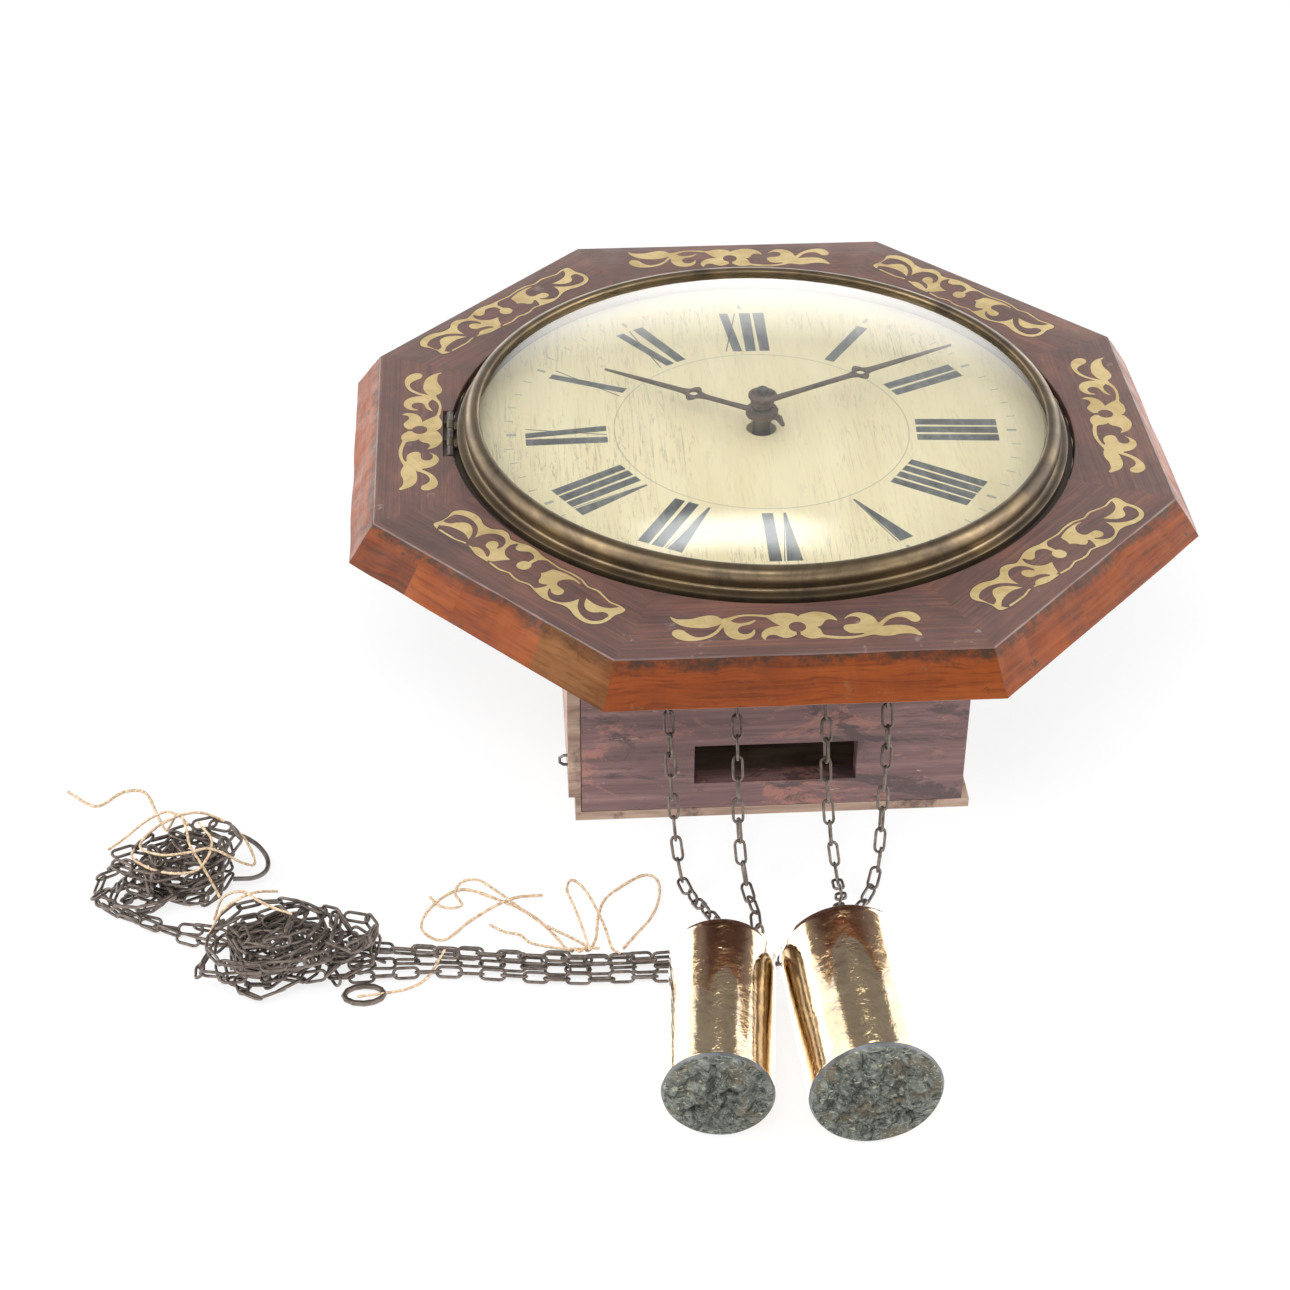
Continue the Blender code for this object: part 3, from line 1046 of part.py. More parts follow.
def over_wheel(centre, radius):
    """The chain's bend over its wheel, from one hole's side to the other's."""
    return [(centre[0] + radius * math.cos(a), centre[1] + radius * math.sin(a), CHAIN_Z)
            for a in (math.pi - math.pi * i / 10 for i in range(11))]


def chains():
    radius = CHAIN_D / 2
    tube("strike_chain", smooth_route(STRIKE_WEIGHT_SIDE, 12) + over_wheel(STRIKE_GREAT_XY, STRIKE_CHAIN_R)
         + smooth_route(STRIKE_TAIL, 22), radius, CHAIN)
    tube("going_chain", smooth_route(GOING_WEIGHT_SIDE, 12) + over_wheel(GOING_GREAT_XY, GOING_CHAIN_R)
         + smooth_route(GOING_TAIL, 24), radius, CHAIN)
    tube("chain_fold", smooth_route(CHAIN_FOLD, 24), radius, CHAIN)
    near = wound(**NEAR_HANK)
    far = smooth_route(CHAIN_LOOP, 12) + wound(**FAR_HANK)
    for label, hank in (("near", near), ("far", far)):
        print(label, "hank least gap to itself, mm:", round(least_gap(hank, radius) / MM, 2))
    tube("chain_hank_near", near, radius, CHAIN, 1)
    tube("chain_hank_far", far, radius, CHAIN, 1)


def ring_and_twine():
    x, y = END_RING["centre"]
    ring = [(x + END_RING["half_x"] * math.cos(a), y + END_RING["half_y"] * math.sin(a), END_RING["z"])
            for a in (math.tau * i / 12 for i in range(12))]
    tube("chain_end_ring", ring, END_RING_WIRE_R, CHAIN, 1, True)
    tube("twine_middle", smooth_route(TWINE_MIDDLE, 36), TWINE_D / 2, HEMP, 1)
    tube("twine_left", smooth_route(TWINE_LEFT, 11), TWINE_D / 2, HEMP, 1)


# Empties on the joints' axes

def hang(name, place, *pieces):
    """An empty on a joint's axis, which carries the pieces that move about it."""
    pivot = bpy.data.objects.new(name + "_axis", None)
    pivot.location = place
    parts.objects.link(pivot)
    for piece in pieces:
        thing = bpy.data.objects[piece]
        thing.parent = pivot
        thing.matrix_parent_inverse = Matrix.Translation(place).inverted()


def hang_moving_pieces(places):
    centre = (0, 0, 0)
    left_x, left_z = door_axis(CASE_CENTRE_X - CASE_HALF_WIDTH - LEFT_DOOR_PROUD, -1)
    right_x, right_z = door_axis(CASE_CENTRE_X + CASE_HALF_WIDTH - BOARD_INSET_RIGHT, 1)
    hang("left_door", (left_x, 0, left_z), "left_door", "left_door_knuckle", "left_door_pull")
    hang("right_door", (right_x, 0, right_z), "right_door", "right_door_knuckle")
    hang("bezel", (BEZEL_AXIS_X, 0, BEZEL_AXIS_Z), "bezel_ring", "bezel_glass")
    hang("minute_hand", centre, "minute_hand", "hand_collet", "hand_pin", "minute_arbor", "minute_wheel")
    hang("hour_hand", centre, "hour_hand", "hour_wheel")
    hang("intermediate", (*places["intermediate"], 0), "intermediate_wheel")
    hang("going_great", (*GOING_GREAT_XY, 0), "going_arbor", "going_great_wheel", "going_chain_wheel")
    hang("strike_great", (*STRIKE_GREAT_XY, 0), "strike_arbor", "strike_great_wheel", "strike_chain_wheel")
    for place, piece in (("second", "second_wheel"), ("escape", "escape_wheel"),
                         ("anchor", "anchor_and_crutch"), ("pins", "pin_wheel"),
                         ("fly", "fly"), ("hammer", "hammer")):
        hang(piece, (*places[place], 0), piece)
    for spec in (LEFT_WEIGHT, RIGHT_WEIGHT):
        eye = weight_place(spec) @ Vector((0, 0, spec["long"] + HOOK_LONG - HOOK_WIRE_R - HOOK_EYE_R))
        hang(spec["name"] + "_weight", eye, *[spec["name"] + piece for piece in
                                              ("_weight_sleeve", "_weight_core", "_weight_hook")])


octagonal_frame()
case()
dial()
bezel()
hands()
PLACES = train_places()
plates(PLACES)
motion_work(PLACES)
going_train(PLACES)
strike_train(PLACES)
weight(LEFT_WEIGHT)
weight(RIGHT_WEIGHT)
chains()
ring_and_twine()
hang_moving_pieces(PLACES)
print("nodes:", sum(thing.type == "MESH" for thing in parts.objects))
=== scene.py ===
"""Looks of the octagonal wall clock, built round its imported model, lying on its back."""
import math
import random

import bmesh
import bpy
from mathutils import Matrix, Vector, noise
from mathutils.geometry import delaunay_2d_cdt


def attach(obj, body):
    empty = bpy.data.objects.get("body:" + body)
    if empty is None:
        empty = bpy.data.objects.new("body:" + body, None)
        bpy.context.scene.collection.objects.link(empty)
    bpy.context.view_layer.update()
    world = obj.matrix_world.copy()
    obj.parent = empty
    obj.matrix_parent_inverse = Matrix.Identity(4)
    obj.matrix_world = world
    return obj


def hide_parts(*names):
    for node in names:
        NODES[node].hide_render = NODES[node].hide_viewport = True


MM = 0.001
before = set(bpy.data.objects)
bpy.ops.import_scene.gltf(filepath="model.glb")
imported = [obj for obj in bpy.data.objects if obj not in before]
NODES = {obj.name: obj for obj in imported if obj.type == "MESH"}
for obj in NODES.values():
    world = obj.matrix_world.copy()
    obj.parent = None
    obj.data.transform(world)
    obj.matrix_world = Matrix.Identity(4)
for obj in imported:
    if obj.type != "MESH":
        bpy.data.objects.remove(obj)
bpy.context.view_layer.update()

# Sizes that the model has too
FACE_Z = 110
FRAME_LOW = 94.8
DIAL_Z = 107.5
RECESS_R = 121.5
LEDGE_R = 113
LEDGE_Z = 99.2
HALF_WIDTH, HALF_HEIGHT = 150, 151.6
TOP_HALF, FLANK_HALF = 65.9, 61.7
CHAIN_D = 4.7
CHAIN_Z = 62

# A chain link: its round wire, its length from bend to bend and its step along the chain
LINK_WIRE_R = 0.58
LINK_BEND = CHAIN_D / 2 - LINK_WIRE_R
LINK_RUN = 2.7
LINK_SIDES, LINK_BENDS = 7, 6
LINK_PITCH = 7.7
# Below this height a chain's links lie on the table
LYING_Z = 3.2


# Objects and node trees

def linked(name, data):
    """An object of the data, in the scene."""
    thing = bpy.data.objects.new(name, data)
    bpy.context.scene.collection.objects.link(thing)
    return thing


class Nodes:
    """A node tree, with short calls that add nodes to it."""

    def __init__(self, tree):
        self.tree = tree

    def add(self, kind, *values):
        """A node whose first inputs take the values or sockets in turn."""
        node = self.tree.nodes.new("ShaderNode" + kind)
        for value, socket in zip(values, node.inputs):
            self.put(value, socket)
        return node

    def put(self, value, socket):
        if isinstance(value, bpy.types.NodeSocket):
            self.tree.links.new(value, socket)
        elif isinstance(value, tuple) and socket.type == "RGBA" and len(value) == 3:
            socket.default_value = (*value, 1)
        else:
            socket.default_value = value

    def ramp(self, value, *stops):
        node = self.add("ValToRGB", value)
        for i, (at, colour) in enumerate(stops):
            stop = node.color_ramp.elements[i] if i < 2 else node.color_ramp.elements.new(at)
            stop.position = at
            stop.color = (*(colour if isinstance(colour, tuple) else (colour,) * 3), 1)
        return node.outputs["Color"]

    def maths(self, kind, *values):
        node = self.add("Math", *values)
        node.operation = kind
        return node.outputs[0]

    def smooth_step(self, value, low, high, top=1):
        node = self.add("MapRange", value, low, high, 0, top)
        node.interpolation_type = "SMOOTHSTEP"
        return node.outputs["Result"]

    def blend(self, share, first, second):
        return self.add("MixShader", share, first.outputs[0], second.outputs[0])


# Camera, light and floor

def camera():
    lens = bpy.data.cameras.new("camera")
    lens.lens = 71.86
    lens.sensor_width = 36
    lens.sensor_fit = "HORIZONTAL"
    lens.clip_start = 0.01
    thing = linked("camera", lens)
    thing.location = (-0.1017, -0.86, 0.6341)
    thing.rotation_euler = [math.radians(a) for a in (53.8665, -0.2619, -3.5676)]
    bpy.context.scene.camera = thing


def lamp(name, place, target, size, power, colour=(1, 1, 1)):
    light = bpy.data.lights.new(name, "AREA")
    light.shape = "RECTANGLE"
    light.size, light.size_y = size
    light.energy = power
    light.color = colour
    thing = linked(name, light)
    thing.location = place
    thing.rotation_euler = (Vector(target) - Vector(place)).to_track_quat("-Z", "Y").to_euler()
    return light


def soften(light, *fades):
    """Fade a lamp's light towards its edges, over a share of its width and of its height."""
    light.use_nodes = True
    nodes = Nodes(light.node_tree)
    across = nodes.add("SeparateXYZ", nodes.add("NewGeometry").outputs["Parametric"]).outputs
    steps = [nodes.smooth_step(nodes.maths("PINGPONG", across[i], 0.5), 0, fade)
             for i, fade in enumerate(fades)]
    nodes.put(nodes.maths("MULTIPLY", *steps), light.node_tree.nodes["Emission"].inputs["Strength"])


def lamps():
    lamp("key", (-0.25, -0.95, 1.25), (0, -0.1, 0.05), (0.55, 0.35), 12)
    lamp("left", (-1.2, -0.3, 0.9), (0, -0.05, 0.05), (0.7, 0.9), 13)
    lamp("right", (1.25, -0.25, 0.9), (0, -0.05, 0.05), (0.7, 0.9), 14)
    cool = (0.97, 0.98, 1)
    soften(lamp("softbox", (0.03, 0.74, 1.375), (-0.04, -0.085, 0.12), (0.62, 0.22), 2.3, cool), 0.3, 0.42)


def backdrop():
    """White to the camera; in reflections a bright horizon and side screens under a dim ceiling."""
    bpy.context.scene.view_settings.view_transform = "Standard"
    world = bpy.data.worlds.new("studio")
    bpy.context.scene.world = world
    world.use_nodes = True
    world.node_tree.nodes.clear()
    nodes = Nodes(world.node_tree)
    ray = nodes.add("LightPath").outputs
    where = nodes.add("SeparateXYZ", nodes.add("TexCoord").outputs["Generated"]).outputs
    horizon = nodes.ramp(where["Z"], (0, 0.95), (0.2, 0.7), (0.36, 0.08), (1, 0.06))
    screens = nodes.smooth_step(nodes.maths("ABSOLUTE", where["X"]), 0.44, 0.52, 0.5)
    level = nodes.maths("MULTIPLY", nodes.maths("MAXIMUM", screens, horizon), 4.8)
    mirrored = nodes.add("Background", (1, 0.985, 0.96), level)
    fill = nodes.add("Background", (0.97, 0.98, 1), 0.62)
    white = nodes.add("Background", (1, 1, 1), 1)
    seen = nodes.maths("MAXIMUM", ray["Is Camera Ray"], ray["Is Transmission Ray"])
    both = nodes.blend(seen, nodes.blend(ray["Is Glossy Ray"], fill, mirrored), white)
    nodes.add("OutputWorld", both.outputs[0])


def tabletop():
    """A white table that takes shadows and fades into the backdrop."""
    mesh = bpy.data.meshes.new("floor")
    mesh.from_pydata([(-6, -6, 0), (6, -6, 0), (6, 6, 0), (-6, 6, 0)], [], [(0, 1, 2, 3)])
    table = linked("floor", mesh)
    table.location = (0, 0, -0.00006)
    paper = Look("paper", (0.86, 0.86, 0.86), 0.9, 0, Specular_IOR_Level=0.1)
    ray = paper.add("LightPath").outputs
    glow = paper.add("Emission", (1, 1, 1), paper.maths("MULTIPLY_ADD", ray["Is Glossy Ray"], 2.2, 1))
    seen = paper.maths("MAXIMUM", ray["Is Camera Ray"], ray["Is Glossy Ray"])
    both = paper.blend(paper.maths("MULTIPLY", seen, 0.8), paper.shader, glow)
    paper.put(both.outputs[0], paper.tree.nodes["Material Output"].inputs["Surface"])
    mesh.materials.append(paper.material)


# Materials

class Look(Nodes):
    """A material, with short calls for what colours it."""

    def __init__(self, name, colour, roughness=0.5, metallic=0, **extra):
        self.material = bpy.data.materials.new(name)
        self.material.use_nodes = True
        super().__init__(self.material.node_tree)
        self.shader = self.tree.nodes["Principled BSDF"]
        for key, value in dict(Base_Color=colour, Roughness=roughness, Metallic=metallic, **extra).items():
            self.put(value, self.shader.inputs[key.replace("_", " ")])

    def place(self, stretch=(1, 1, 1), turn=(0, 0, 0), uv=False):
        source = self.add("TexCoord").outputs["UV" if uv else "Object"]
        node = self.add("Mapping", source)
        node.inputs["Scale"].default_value = stretch
        node.inputs["Rotation"].default_value = [math.radians(a) for a in turn]
        return node.outputs[0]

    def noise(self, scale, detail=4, rough=0.55, twist=0, **place):
        node = self.add("TexNoise", self.place(**place))
        for key, value in dict(Scale=scale, Detail=detail, Roughness=rough, Distortion=twist).items():
            self.put(value, node.inputs[key])
        return node.outputs["Fac"]

    def mix(self, share, first, second, kind="MIX"):
        node = self.add("MixRGB", share, first, second)
        node.blend_type = kind
        return node.outputs[0]

    def cover(self, base, colour, cloud, low, high, share):
        """The base with a colour over it in patches, from a low to a high value of a noise."""
        return self.mix(self.ramp(cloud, (low, 0), (high, share)), base, colour)

    def colour(self, value):
        self.put(value, self.shader.inputs["Base Color"])

    def rough(self, value):
        self.put(value, self.shader.inputs["Roughness"])

    def bump(self, height, distance, strength=1):
        node = self.add("Bump", strength, distance)
        self.put(height, node.inputs["Height"])
        self.put(node.outputs[0], self.shader.inputs["Normal"])


def veneer(name, dark, middle, light, worn, gloss, grime=0, shine=0.5):
    """Polished veneer whose grain runs along the first direction of its UV map."""
    look = Look(name, middle, gloss, 0, Specular_IOR_Level=shine)
    streaks = look.noise(1, 8, 0.7, 0.1, stretch=(7, 800, 1), uv=True)
    broad = look.noise(1, 5, 0.65, 0.6, stretch=(24, 60, 1), uv=True)
    grain = look.mix(0.42, streaks, broad)
    wood = look.ramp(grain, (0.39, dark), (0.5, middle), (0.61, light))
    pores = look.ramp(look.noise(1, 2, stretch=(70, 2400, 1), uv=True), (0.35, 0.45), (0.46, 1))
    wood = look.mix(0.55, wood, pores, "MULTIPLY")
    spots = look.noise(85, 6, 0.7)
    wood = look.cover(wood, worn, spots, 0.64, 0.7, 0.45)
    if grime:
        height = look.add("SeparateXYZ", look.place()).outputs["Z"]
        ragged = look.maths("ADD", height, look.maths("MULTIPLY", look.noise(90, 8, 0.75), 0.013))
        near = look.ramp(look.maths("MULTIPLY", ragged, 8), (0.897, 0), (0.915, grime))
        flecks = look.ramp(look.noise(240, 5, 0.7), (0.38, 0.25), (0.58, 1))
        wood = look.mix(look.maths("MULTIPLY", near, flecks), wood, (0.026, 0.014, 0.008))
        knots = look.noise(120, 5, 0.7, stretch=(1, 1, 1.6))
        wood = look.cover(wood, (0.03, 0.015, 0.01), knots, 0.64, 0.69, 0.9)
    look.colour(wood)
    look.rough(look.ramp(spots, (0.3, gloss), (0.75, gloss + 0.3)))
    look.bump(look.mix(0.3, grain, spots), 0.00015, 0.6)
    return look.material


def painted_pine():
    """Old wash over pine: purple-brown, rubbed to pink and dirtied to grey."""
    look = Look("old_pine", (0.24, 0.13, 0.12), 0.55, 0, Specular_IOR_Level=0.3)
    grain = look.noise(1, 6, 0.66, 0.15, stretch=(13, 190, 230))
    base = look.ramp(grain, (0.36, (0.1, 0.056, 0.056)), (0.52, (0.175, 0.1, 0.097)),
                     (0.66, (0.26, 0.155, 0.145)))
    patches = look.noise(34, 8, 0.74, 0.5, stretch=(1, 1, 2.2))
    base = look.cover(base, (0.36, 0.165, 0.13), patches, 0.55, 0.62, 0.8)
    dirt = look.noise(23, 9, 0.76, 0.8, stretch=(1, 1, 2.4))
    base = look.cover(base, (0.055, 0.036, 0.036), dirt, 0.53, 0.58, 0.85)
    chips = look.noise(160, 5, 0.7, stretch=(0.5, 1, 2.5))
    look.colour(look.cover(base, (0.5, 0.36, 0.3), chips, 0.66, 0.7, 0.8))
    look.bump(look.mix(0.5, grain, patches), 0.0004, 0.6)
    return look.material


def bare_edge():
    look = Look("bare_pine", (0.4, 0.29, 0.22), 0.75)
    grain = look.noise(1, 5, 0.65, 0.5, stretch=(20, 90, 210))
    dirt = look.noise(60, 5, 0.7)
    base = look.ramp(grain, (0.32, (0.2, 0.12, 0.09)), (0.55, (0.4, 0.28, 0.21)),
                     (0.75, (0.52, 0.41, 0.32)))
    look.colour(look.cover(base, (0.09, 0.05, 0.04), dirt, 0.56, 0.66, 0.85))
    look.bump(dirt, 0.0004, 0.5)
    return look.material


def dial_paint():
    """Cream paint with fine cracks that follow the wood's grain."""
    look = Look("dial_paint", (0.84, 0.72, 0.45), 0.35, 0, Coat_Weight=0.2, Coat_Roughness=0.12)
    cracks = look.noise(1, 4, 0.55, 1.2, stretch=(420, 22, 1))
    line = look.maths("ABSOLUTE", look.maths("SUBTRACT", cracks, 0.5))
    lines = look.ramp(line, (0, 0.5), (0.018, 1))
    where = look.ramp(look.noise(14, 2), (0.4, 0.3), (0.56, 1))
    tone = look.ramp(look.noise(1, 6, 0.65, stretch=(60, 9, 1)),
                     (0.3, (0.77, 0.64, 0.38)), (0.7, (0.85, 0.74, 0.48)))
    tone = look.cover(tone, (0.62, 0.46, 0.22), look.noise(42, 4, 0.6), 0.7, 0.8, 0.5)
    look.colour(look.mix(where, tone, look.mix(1, tone, lines, "MULTIPLY")))
    look.bump(lines, 0.00004, 0.4)
    return look.material


def ink():
    look = Look("dial_ink", (0.1, 0.11, 0.115), 0.4)
    worn = look.noise(1, 5, 0.7, stretch=(300, 60, 1))
    patch = look.noise(60, 5, 0.65)
    tone = look.ramp(worn, (0.35, (0.055, 0.06, 0.065)), (0.62, (0.15, 0.155, 0.15)),
                     (0.78, (0.42, 0.38, 0.28)))
    look.colour(look.mix(look.ramp(patch, (0.36, 0.65), (0.5, 0)), tone, (0.015, 0.017, 0.02)))
    return look.material


def metal(name, colour, dull, rough=0.35, metallic=1, spots=60, bump=0):
    """Metal with a patina of a second colour in cloudy spots."""
    look = Look(name, colour, rough, metallic)
    clouds = look.noise(spots, 6, 0.65, 0.5)
    look.colour(look.ramp(clouds, (0.36, dull), (0.62, colour)))
    look.rough(look.ramp(clouds, (0.3, min(1, rough + 0.18)), (0.7, rough)))
    if bump:
        look.bump(clouds, bump, 0.6)
    return look.material


def sleeve():
    """Thin sheet brass with small dents and an olive patina."""
    look = Look("sleeve_brass", (0.6, 0.4, 0.17), 0.1, 1, Coat_Weight=1, Coat_IOR=2.2,
                Coat_Roughness=0.04)
    clouds = look.noise(75, 8, 0.72, 0.8)
    look.colour(look.ramp(clouds, (0.36, (0.36, 0.25, 0.12)), (0.5, (0.53, 0.38, 0.2)),
                          (0.66, (0.68, 0.5, 0.29))))
    look.rough(look.ramp(clouds, (0.35, 0.2), (0.6, 0.08)))
    dents = look.noise(190, 3, 0.6, 0.4)
    pits = look.ramp(look.noise(420, 2, 0.5, stretch=(1, 1, 1.5)), (0.68, 1), (0.74, 0))
    look.bump(look.mix(0.12, dents, pits), 0.0004, 0.7)
    return look.material


def glass():
    look = Look("glass", (0.97, 0.99, 0.98), 0, 0, Transmission_Weight=1, IOR=1.47)
    return look.material


def lead():
    """Cast lead, oxidised grey-green, with pale crusts."""
    look = Look("lead", (0.08, 0.085, 0.075), 0.6, 0, Specular_IOR_Level=0.15)
    clouds = look.noise(130, 9, 0.74, 3)
    crust = look.noise(170, 8, 0.74, 3.2, stretch=(1, 1, 2.6), turn=(0, 35, 0))
    warm = look.noise(90, 5, 0.7)
    base = look.ramp(clouds, (0.4, (0.03, 0.033, 0.031)), (0.5, (0.14, 0.155, 0.135)),
                     (0.62, (0.3, 0.32, 0.28)))
    base = look.cover(base, (0.2, 0.15, 0.095), warm, 0.52, 0.6, 0.6)
    look.colour(look.cover(base, (0.58, 0.56, 0.42), crust, 0.56, 0.61, 0.9))
    look.bump(look.mix(0.5, clouds, crust), 0.0022, 1)
    return look.material


def hemp():
    look = Look("hemp", (0.58, 0.42, 0.26), 0.9)
    lay = look.noise(900, 3)
    look.colour(look.ramp(lay, (0.35, (0.36, 0.23, 0.13)), (0.65, (0.7, 0.54, 0.36))))
    return look.material


VENEER_FACE = veneer("veneer_face", (0.052, 0.026, 0.023), (0.085, 0.038, 0.03), (0.148, 0.06, 0.04),
                     (0.27, 0.22, 0.21), 0.38, 0, 0.6)
VENEER_EDGE = veneer("veneer_edge", (0.075, 0.015, 0.003), (0.16, 0.033, 0.004), (0.215, 0.052, 0.008),
                     (0.13, 0.085, 0.05), 0.36, 0.95, 0.16)
VENEER_PALE = veneer("veneer_pale", (0.065, 0.022, 0.006), (0.125, 0.044, 0.012), (0.18, 0.075, 0.026),
                     (0.05, 0.026, 0.013), 0.5, 0.6, 0.12)
PINE = painted_pine()
BARE = bare_edge()
PAINT = dial_paint()
INK = ink()
INLAY = metal("inlay_brass", (0.74, 0.58, 0.29), (0.5, 0.37, 0.17), 0.36, 0.75, 60)
# Dark filler round the slanting inlays; the same dark also paints the shade at the dial's rim.
MASTIC_AND_SHADE = Look("mastic_and_painted_shade", (0.025, 0.015, 0.012), 0.6).material
BRASS = metal("brass", (0.62, 0.44, 0.18), (0.36, 0.24, 0.1), 0.3)
BEZEL = metal("bezel_brass", (0.15, 0.108, 0.06), (0.06, 0.044, 0.03), 0.3, 0.85, 40, 0.0002)
SLEEVE = sleeve()
IRON = metal("hand_iron", (0.17, 0.115, 0.085), (0.08, 0.055, 0.045), 0.45, 0.6, 120)
STEEL = metal("steel", (0.16, 0.145, 0.13), (0.07, 0.055, 0.05), 0.45, 0.8, 150)
LINK = metal("chain_steel", (0.13, 0.105, 0.09), (0.06, 0.046, 0.038), 0.42, 0.75, 300)
GLASS = glass()
LEAD = lead()
LEAD_RIM = metal("lead_rim", (0.1, 0.105, 0.112), (0.04, 0.043, 0.045), 0.42, 0.5, 110, 0.0006)
# Darker brass for the hour wheel's pipe: painted shade at the foot of the hands.
PAINTED_SHADE_BRASS = metal("brass_darkened_for_painted_shade", (0.17, 0.12, 0.07), (0.07, 0.055, 0.04), 0.4, 0.8, 60)
HEMP = hemp()


# Shapes

# Turns the Z axis into the Y axis
ALONG_Y = Matrix.Rotation(math.radians(-90), 4, "X")


def polar(radius, angle):
    return Vector((radius * math.cos(angle), radius * math.sin(angle)))


def finish(name, shape, looks, body, slot, *replaced, smooth=True, angle=40):
    """A piece of the scene on its body, in place of the nodes that it stands for."""
    mesh = shape if isinstance(shape, bpy.types.Mesh) else from_shape(name, shape)
    for look in looks:
        mesh.materials.append(look)
    if smooth:
        mesh.shade_smooth()
        mesh.set_sharp_from_angle(angle=math.radians(angle))
    thing = linked(name, mesh)
    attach(thing, body)
    if replaced:
        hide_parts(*replaced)
    return thing


def from_shape(name, shape, turned=True):
    if turned:
        bmesh.ops.recalc_face_normals(shape, faces=shape.faces)
    mesh = bpy.data.meshes.new(name)
    shape.to_mesh(mesh)
    shape.free()
    return mesh


def smooth_loop(points, steps=5):
    """A closed smooth outline through the given points, which keeps its cusps."""
    made = []
    count = len(points)
    for i in range(count):
        near = [Vector(points[(i + k) % count]) for k in (-1, 0, 1, 2)]
        knots = [0]
        for a, b in zip(near, near[1:]):
            knots.append(knots[-1] + max((b - a).length, 0.001) ** 0.5)
        for j in range(steps):
            t = knots[1] + (knots[2] - knots[1]) * j / steps
            at = near
            for span in (1, 2):
                at = [at[k].lerp(at[k + 1], (t - knots[k]) / (knots[k + span] - knots[k]))
                      for k in range(4 - span)]
            made.append(at[0].lerp(at[1], (t - knots[1]) / (knots[2] - knots[1])))
    return made


def plate_into(shape, outline, low, high, place=Matrix(), look=0):
    """A flat plate of an outline in millimetres, between two heights."""
    flat = [Vector((p[0], p[1])) for p in outline]
    spots, _, faces, *_ = delaunay_2d_cdt(flat, [], [list(range(len(flat)))], 1, 0.00001)
    used = sorted({i for face in faces for i in face})
    top = {i: shape.verts.new(place @ Vector((*(spots[i] * MM), high * MM))) for i in used}
    base = {i: shape.verts.new(place @ Vector((*(spots[i] * MM), low * MM))) for i in used}
    edges = [edge for face in faces for edge in zip(face, face[1:] + face[:1])]
    both_ways = set(edges)
    made = []
    for face in faces:
        made.append(shape.faces.new([top[i] for i in face]))
        made.append(shape.faces.new([base[i] for i in reversed(face)]))
    for i, j in edges:
        if (j, i) not in both_ways:
            made.append(shape.faces.new((top[j], top[i], base[i], base[j])))
    for face in made:
        face.material_index = look


def skin(shape, rows, closed=True):
    """Faces between rows of corners; each row closes on itself, and the last may meet the first."""
    made = []
    for here, there in zip(rows, rows[1:] + (rows[:1] if closed else [])):
        for corners in zip(here, here[1:] + here[:1], there[1:] + there[:1], there):
            made.append(shape.faces.new(corners))
    return made


def lathe(name, profile, steps):
    """A ring turned about the Z axis, from radii and heights in millimetres."""
    shape = bmesh.new()
    skin(shape, [[shape.verts.new((*polar(r * MM, math.tau * i / steps), z * MM)) for r, z in profile]
                 for i in range(steps)])
    bmesh.ops.remove_doubles(shape, verts=shape.verts, dist=0.000002)
    return from_shape(name, shape)


def box_into(shape, middle, size):
    """A box by its middle and its three sizes, in millimetres."""
    place = Matrix.Translation(Vector(middle) * MM) @ Matrix.Diagonal((*(Vector(size) * MM), 1))
    bmesh.ops.create_cube(shape, size=1, matrix=place)


# Veneered frame

def octagon(out):
    k = out * math.tan(math.radians(22.5))
    w, h, t, f = HALF_WIDTH + out, HALF_HEIGHT + out, TOP_HALF + k, FLANK_HALF + k
    return [(-t, h), (-w, f), (-w, -f), (-t, -h), (t, -h), (w, -f), (w, f), (t, h)]


# The frame's section: its points lie on a circle, at a share of the way to the octagon, or on a larger one
CIRCLE, BETWEEN, OUT = range(3)
SECTION = (
    (CIRCLE, LEDGE_R, FRAME_LOW), (CIRCLE, LEDGE_R, LEDGE_Z), (CIRCLE, RECESS_R, LEDGE_Z),
    (CIRCLE, RECESS_R, FACE_Z - 0.3), (CIRCLE, RECESS_R + 0.3, FACE_Z), (BETWEEN, 0.45, FACE_Z),
    (OUT, -1.1, FACE_Z), (OUT, -0.35, FACE_Z - 0.12), (OUT, 0.15, FACE_Z - 0.6), (OUT, 0.65, FACE_Z - 1.4),
    (OUT, 3.4, FACE_Z - 5.2), (OUT, 6.6, FACE_Z - 10), (OUT, 9.5, FACE_Z - 14.1), (OUT, 10, FACE_Z - 14.8),
    (OUT, 9.7, FRAME_LOW), (BETWEEN, 0.3, FRAME_LOW))
EDGE_FACES = range(8, 14)
FRAME_STEPS = 22
# Sides whose edge veneer is pieced, and the side with a pale piece at its end
PIECED, PALE, PALE_STEPS = (1, 2, 4, 5), 2, 6
WORN = 0.9
# The hinge's pocket: middle and sizes
POCKET = (-121.5, 0, 108.5), (5.8, 34, 5)


def frame_spot(side, kind, size, z, ring, t):
    """A point of the section in plan, at a share t along one side; outer arrises are a little worn."""
    if kind == CIRCLE:
        return ring * (size / RECESS_R)
    corners = octagon(size if kind == OUT else 0)
    edge = Vector(corners[side]).lerp(Vector(corners[(side + 1) % 8]), t)
    if kind == BETWEEN:
        return ring.lerp(edge, size)
    if size > 0.1:
        wear = noise.noise(Vector((edge.x * 0.045, edge.y * 0.045, z * 0.06)))
        edge -= edge.normalized() * max(0, wear) * WORN
    return edge


